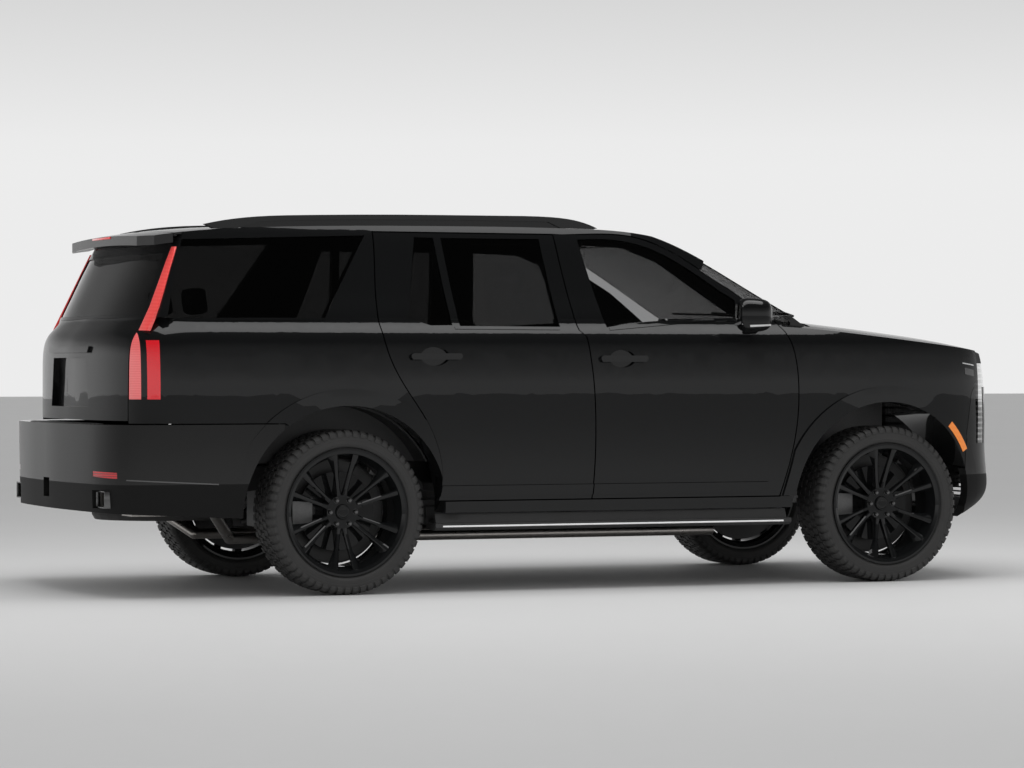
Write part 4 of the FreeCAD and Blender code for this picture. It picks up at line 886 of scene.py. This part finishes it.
def startHug(name, line, width, node, lift, thickness):
    # strip along a side view line on the left, laid onto the outer face of a frame part
    clearSelection()
    count = len(line)
    bpy.ops.mesh.primitive_grid_add(x_subdivisions=count - 1, y_subdivisions=2, size=1.0)
    piece = bpy.context.active_object
    piece.name = name
    for index, vertex in enumerate(piece.data.vertices):
        x, z = line[index % count]
        vertex.co = (x, 1.30, z + width * (index // count - 1) / 2)
    modify(piece, "SHRINKWRAP", target=frame["nodes"][node], wrap_method="PROJECT", use_project_y=True,
           use_negative_direction=True, use_positive_direction=False, offset=lift)
    modify(piece, "SOLIDIFY", thickness=thickness, offset=0.0)
    recalculate(piece)
    return piece


def along(a, b, count):
    # evenly spaced points from a to b
    return [tuple(p + (q - p) * i / (count - 1) for p, q in zip(a, b)) for i in range(count)]


# Trim lines that lie on the body: belt strips under the glass and the crease on the bumper
trims = {"beltWidth": 0.013, "lift": 0.0012, "thickness": 0.0030}


def addTrims():
    frontLine = along((0.092, 1.3455), (0.620, 1.3915), 30) + along((0.640, 1.3925), (0.850, 1.3995), 12)
    rearLine = along((-0.770, 1.3485), (-0.190, 1.3465), 30)
    quarterLine = along((-2.262, 1.3835), (-1.462, 1.3885), 40)
    belts = (("beltFront", frontLine, "door_front_left", "door_front_{side}"),
             ("beltRear", rearLine, "door_rear_left", "door_rear_{side}"),
             ("beltQuarter", quarterLine, "body_side_left", "body"))
    for name, line, node, body in belts:
        strip = startHug(name, line, trims["beltWidth"], node, trims["lift"], trims["thickness"])
        settleBoth(strip, body, "gloss_black_trim")
    crease = startHug("bumperCrease", along((-2.500, 0.590), (-2.040, 0.566), 40), 0.006, "rear_bumper",
                      0.0010, 0.0020)
    settleBoth(crease, "body", "exhaust_steel", finishes["dark_chrome"])


# Tail end: stop lamp in the spoiler, ribbed step pad, outlet frames
tail = {"padRibs": 9, "padX": (-2.600, -2.500), "padZ": 0.8624}


def addTailPieces():
    stop = startBlock("stopLamp", (-2.3592, -0.165, 1.806), (-2.3500, 0.165, 1.8175))
    bevel(stop, 0.002, 2)
    settle(stop, "tailgate", "red_lamp", finishes["stop_lamp"])
    ribs = []
    for i in range(tail["padRibs"]):
        x = tail["padX"][0] + (tail["padX"][1] - tail["padX"][0]) * i / (tail["padRibs"] - 1)
        reach = 0.60 - 0.02 * abs(i - 4) if i > 3 else 0.50 + 0.03 * i
        ribs.append(startBlock("rib", (x, -reach, tail["padZ"] - 0.001),
                               (x + 0.006, reach, tail["padZ"] + 0.003)))
    pad = joinAll(ribs, "bumperPad")
    bevel(pad, 0.001, 2)
    settle(pad, "body", "black_plastic")
    ring = startBlock("outletFrame", (-2.585, 0.692, 0.448), (-2.545, 0.848, 0.534))
    pick(ring, lambda face: abs(face.normal.x) > 0.9)
    bpy.ops.mesh.inset(thickness=0.007)
    bpy.ops.mesh.bridge_edge_loops()
    clearSelection()
    bevel(ring, 0.002, 2)
    settleBoth(ring, "body", "exhaust_steel", finishes["dark_chrome"])


# Lower front opening: level slats
lowerGrille = {"low": 0.432, "high": 0.552, "slats": 6, "front": 2.500, "half": 0.545, "widen": 0.05}


def addLowerGrille():
    slats = []
    x = lowerGrille["front"]
    for i in range(lowerGrille["slats"]):
        z = lowerGrille["low"] + (lowerGrille["high"] - lowerGrille["low"]) * i / (lowerGrille["slats"] - 1)
        half = lowerGrille["half"] + lowerGrille["widen"] * i / (lowerGrille["slats"] - 1)
        outline = [(x, 0.0, z), (x - 0.012, half * 0.5, z), (x - 0.045, half, z), (x - 0.085, half, z),
                   (x - 0.060, 0.0, z), (x - 0.085, -half, z), (x - 0.045, -half, z),
                   (x - 0.012, -half * 0.5, z)]
        slats.append(startPlate("slat", outline, (0, 0, 0.006)))
    slats = joinAll(slats, "lowerSlats")
    bevel(slats, 0.0012, 1)
    settle(slats, "body", "black_plastic")


addTrims()
addTailPieces()
addLowerGrille()
print("trims made")


# Tail lamp blades up the rear pillars, side lamp strips at the nose, shields behind the brake discs
blade = {"levels": ((1.326, 0.813, 0.884), (1.445, 0.806, 0.868), (1.525, 0.788, 0.846),
                    (1.610, 0.769, 0.820), (1.695, 0.750, 0.793), (1.748, 0.740, 0.772)),
         "sunk": 0.014, "proud": 0.006, "pillar": (-2.227, 0.749, 1.694), "perY": 0.3275, "perZ": 0.5146}
shields = {"radius": 0.262, "inner": 0.070, "from": -0.092, "thick": 0.003}


def addBlades():
    # each level gives z and the inner and outer edge; x follows the slope of the rear pillar
    levels = blade["levels"]
    pillarX, pillarY, pillarZ = blade["pillar"]
    points = []
    for z, inner, outer in levels + levels[::-1]:
        y = inner if len(points) < len(levels) else outer
        x = pillarX + blade["perY"] * (y - pillarY) + blade["perZ"] * (z - pillarZ)
        points.append((x + blade["sunk"], y, z))
    lamp = startPlate("tailBlade", points, (-blade["sunk"] - blade["proud"], 0, 0.004))
    bevel(lamp, 0.003, 3)
    settleBoth(lamp, "body", "red_lamp", finishes["blade_lamp"])


def addLampStrips():
    lens = startHug("lampWing", along((2.215, 1.128), (2.290, 1.115), 10), 0.036, "front_fenders",
                    0.0008, 0.0022)
    settleBoth(lens, "body", "clear_lamp", finishes["dark_chrome"])
    line = startHug("lampLine", along((2.200, 1.170), (2.292, 1.158), 12), 0.006, "front_fenders",
                    0.0012, 0.0032)
    settleBoth(line, "body", "clear_lamp", finishes["lamp_line"])


def addShields():
    near, far = shields["from"], shields["from"] - shields["thick"]
    inner, outer = shields["inner"], shields["radius"]
    section = [(near, inner), (near, 0.150), (near + 0.008, 0.170), (near + 0.008, outer),
               (near + 0.016, outer + 0.002), (near + 0.016, outer + 0.005), (far + 0.008, outer + 0.004),
               (far + 0.008, 0.168), (far, 0.148), (far, inner)]
    plate = startTurned("brakeShield", section, 72)
    bevel(plate, 0.0008, 1)
    for place, spot in wheelSpots.items():
        left = spot[1] > 0
        body = "body" if place.startswith("rear") else "knuckle_" + place.split("_")[1]
        copy = copyTo(plate, "brakeShield." + place, turn=(0, 0, 0 if left else math.pi), move=spot)
        settle(copy, body, "frame_steel")
    bpy.data.objects.remove(plate)


addBlades()
addLampStrips()
addShields()
print("lamps and shields made")


# Webs that close the rails down to the roof
railWeb = {"line": ((-1.850, 1.878), (-1.749, 1.886), (-1.493, 1.897), (-0.974, 1.907), (-0.434, 1.910),
                    (-0.159, 1.908), (-0.055, 1.900)), "foot": 1.853, "y": 0.728, "half": 0.006}


def addRailWebs():
    y = railWeb["y"] - railWeb["half"]
    points = [(x, y, z) for x, z in railWeb["line"]] + [(x, y, railWeb["foot"]) for x in (-0.055, -1.850)]
    wall = startPlate("railWeb", points, (0, railWeb["half"] * 2, 0))
    bevel(wall, 0.001, 1)
    settleBoth(wall, "body", "gloss_black_trim")


addRailWebs()


# Studio: pale floor, soft light all round, and the camera at the photograph's angle
studio = {"floorColour": 0.52, "floorSize": 240.0, "overhead": 420.0, "panelAt": (0.0, -1.0, 6.5),
          "panelSize": (9.0, 5.0), "skyLow": 1.05, "skyHigh": 0.62, "skyGround": 0.3, "skyEdge": 0.42,
          "skyAt": (0.49, 0.505, 0.68), "background": 0.84, "shade": 0.30, "ceiling": 0.05,
          "roomAt": (0.53, 0.60, 0.72),
          "cameraAt": (-7.570, -18.155, 1.147), "yaw": 22.486, "pitch": -0.264, "lens": 127.4}


def addFloor():
    bpy.ops.mesh.primitive_plane_add(size=studio["floorSize"], location=(0, 0, 0))
    floor = bpy.context.active_object
    floor.name = "floor"
    shader = Shader("paleFloor")
    tone = shader.noise(0.35, 4.0)
    fine = shader.noise(9.0, 5.0)
    low, high = studio["floorColour"] * 0.94, studio["floorColour"] * 1.05
    shader.set(colour=shader.mix(tone * 0.6 + fine * 0.4, grey(low), grey(high)),
               roughness=0.6 + 0.1 * fine)
    floor.data.materials.append(shader.material)


def addWorld():
    world = bpy.data.worlds.new("softRoom")
    scene.world = world
    world.use_nodes = True
    tree = world.node_tree
    tree.nodes.clear()
    shader = Shader.__new__(Shader)
    shader.tree = tree
    place = shader.node("ShaderNodeTexCoord", output="Generated")
    height = shader.node("ShaderNodeSeparateXYZ", inputs={0: place}, output=2)
    light = grey(studio["skyLow"])
    edge, full, fade = studio["skyAt"]
    stops = [(0.0, grey(studio["skyGround"])), (1.0, grey(studio["skyHigh"])),
             (edge, grey(studio["skyEdge"])), (full, light), (fade, light)]
    sky = shader.node("ShaderNodeValToRGB", {"stops": stops}, {0: height * 0.5 + 0.5})
    # what camera, mirror and glass rays see: a pale wall that darkens towards the ceiling
    wall, shade, ceiling = grey(studio["background"]), grey(studio["shade"]), grey(studio["ceiling"])
    foot, middle, top = studio["roomAt"]
    room = [(0.0, wall), (foot, wall), (middle, shade), (top, ceiling), (1.0, ceiling)]
    backdrop = shader.node("ShaderNodeValToRGB", {"stops": room}, {0: height * 0.5 + 0.5})
    seen = 0.0
    for kind in ("Is Camera Ray", "Is Glossy Ray", "Is Transmission Ray"):
        seen = shader.node("ShaderNodeLightPath", output=kind) + seen
    colour = shader.mix(seen > 0.5, sky, backdrop)
    background = shader.node("ShaderNodeBackground", inputs={0: colour, 1: 1.0})
    output = tree.nodes.new("ShaderNodeOutputWorld")
    tree.links.new(background.socket, output.inputs[0])


def addLights():
    bpy.ops.object.light_add(type="AREA", location=studio["panelAt"])
    top = bpy.context.active_object
    top.name = "overheadPanel"
    top.data.shape = "RECTANGLE"
    top.data.size, top.data.size_y = studio["panelSize"]
    top.data.energy = studio["overhead"]


def addCamera():
    bpy.ops.object.camera_add(location=studio["cameraAt"])
    camera = bpy.context.active_object
    camera.name = "photoCamera"
    camera.rotation_euler = Euler((math.radians(90 + studio["pitch"]), 0, -math.radians(studio["yaw"])))
    camera.data.lens = studio["lens"]
    camera.data.sensor_width = 36.0
    camera.data.clip_end = 500.0
    scene.camera = camera


addFloor()
addWorld()
addLights()
addCamera()
bpy.ops.object.select_all(action="DESELECT")
print("studio ready")
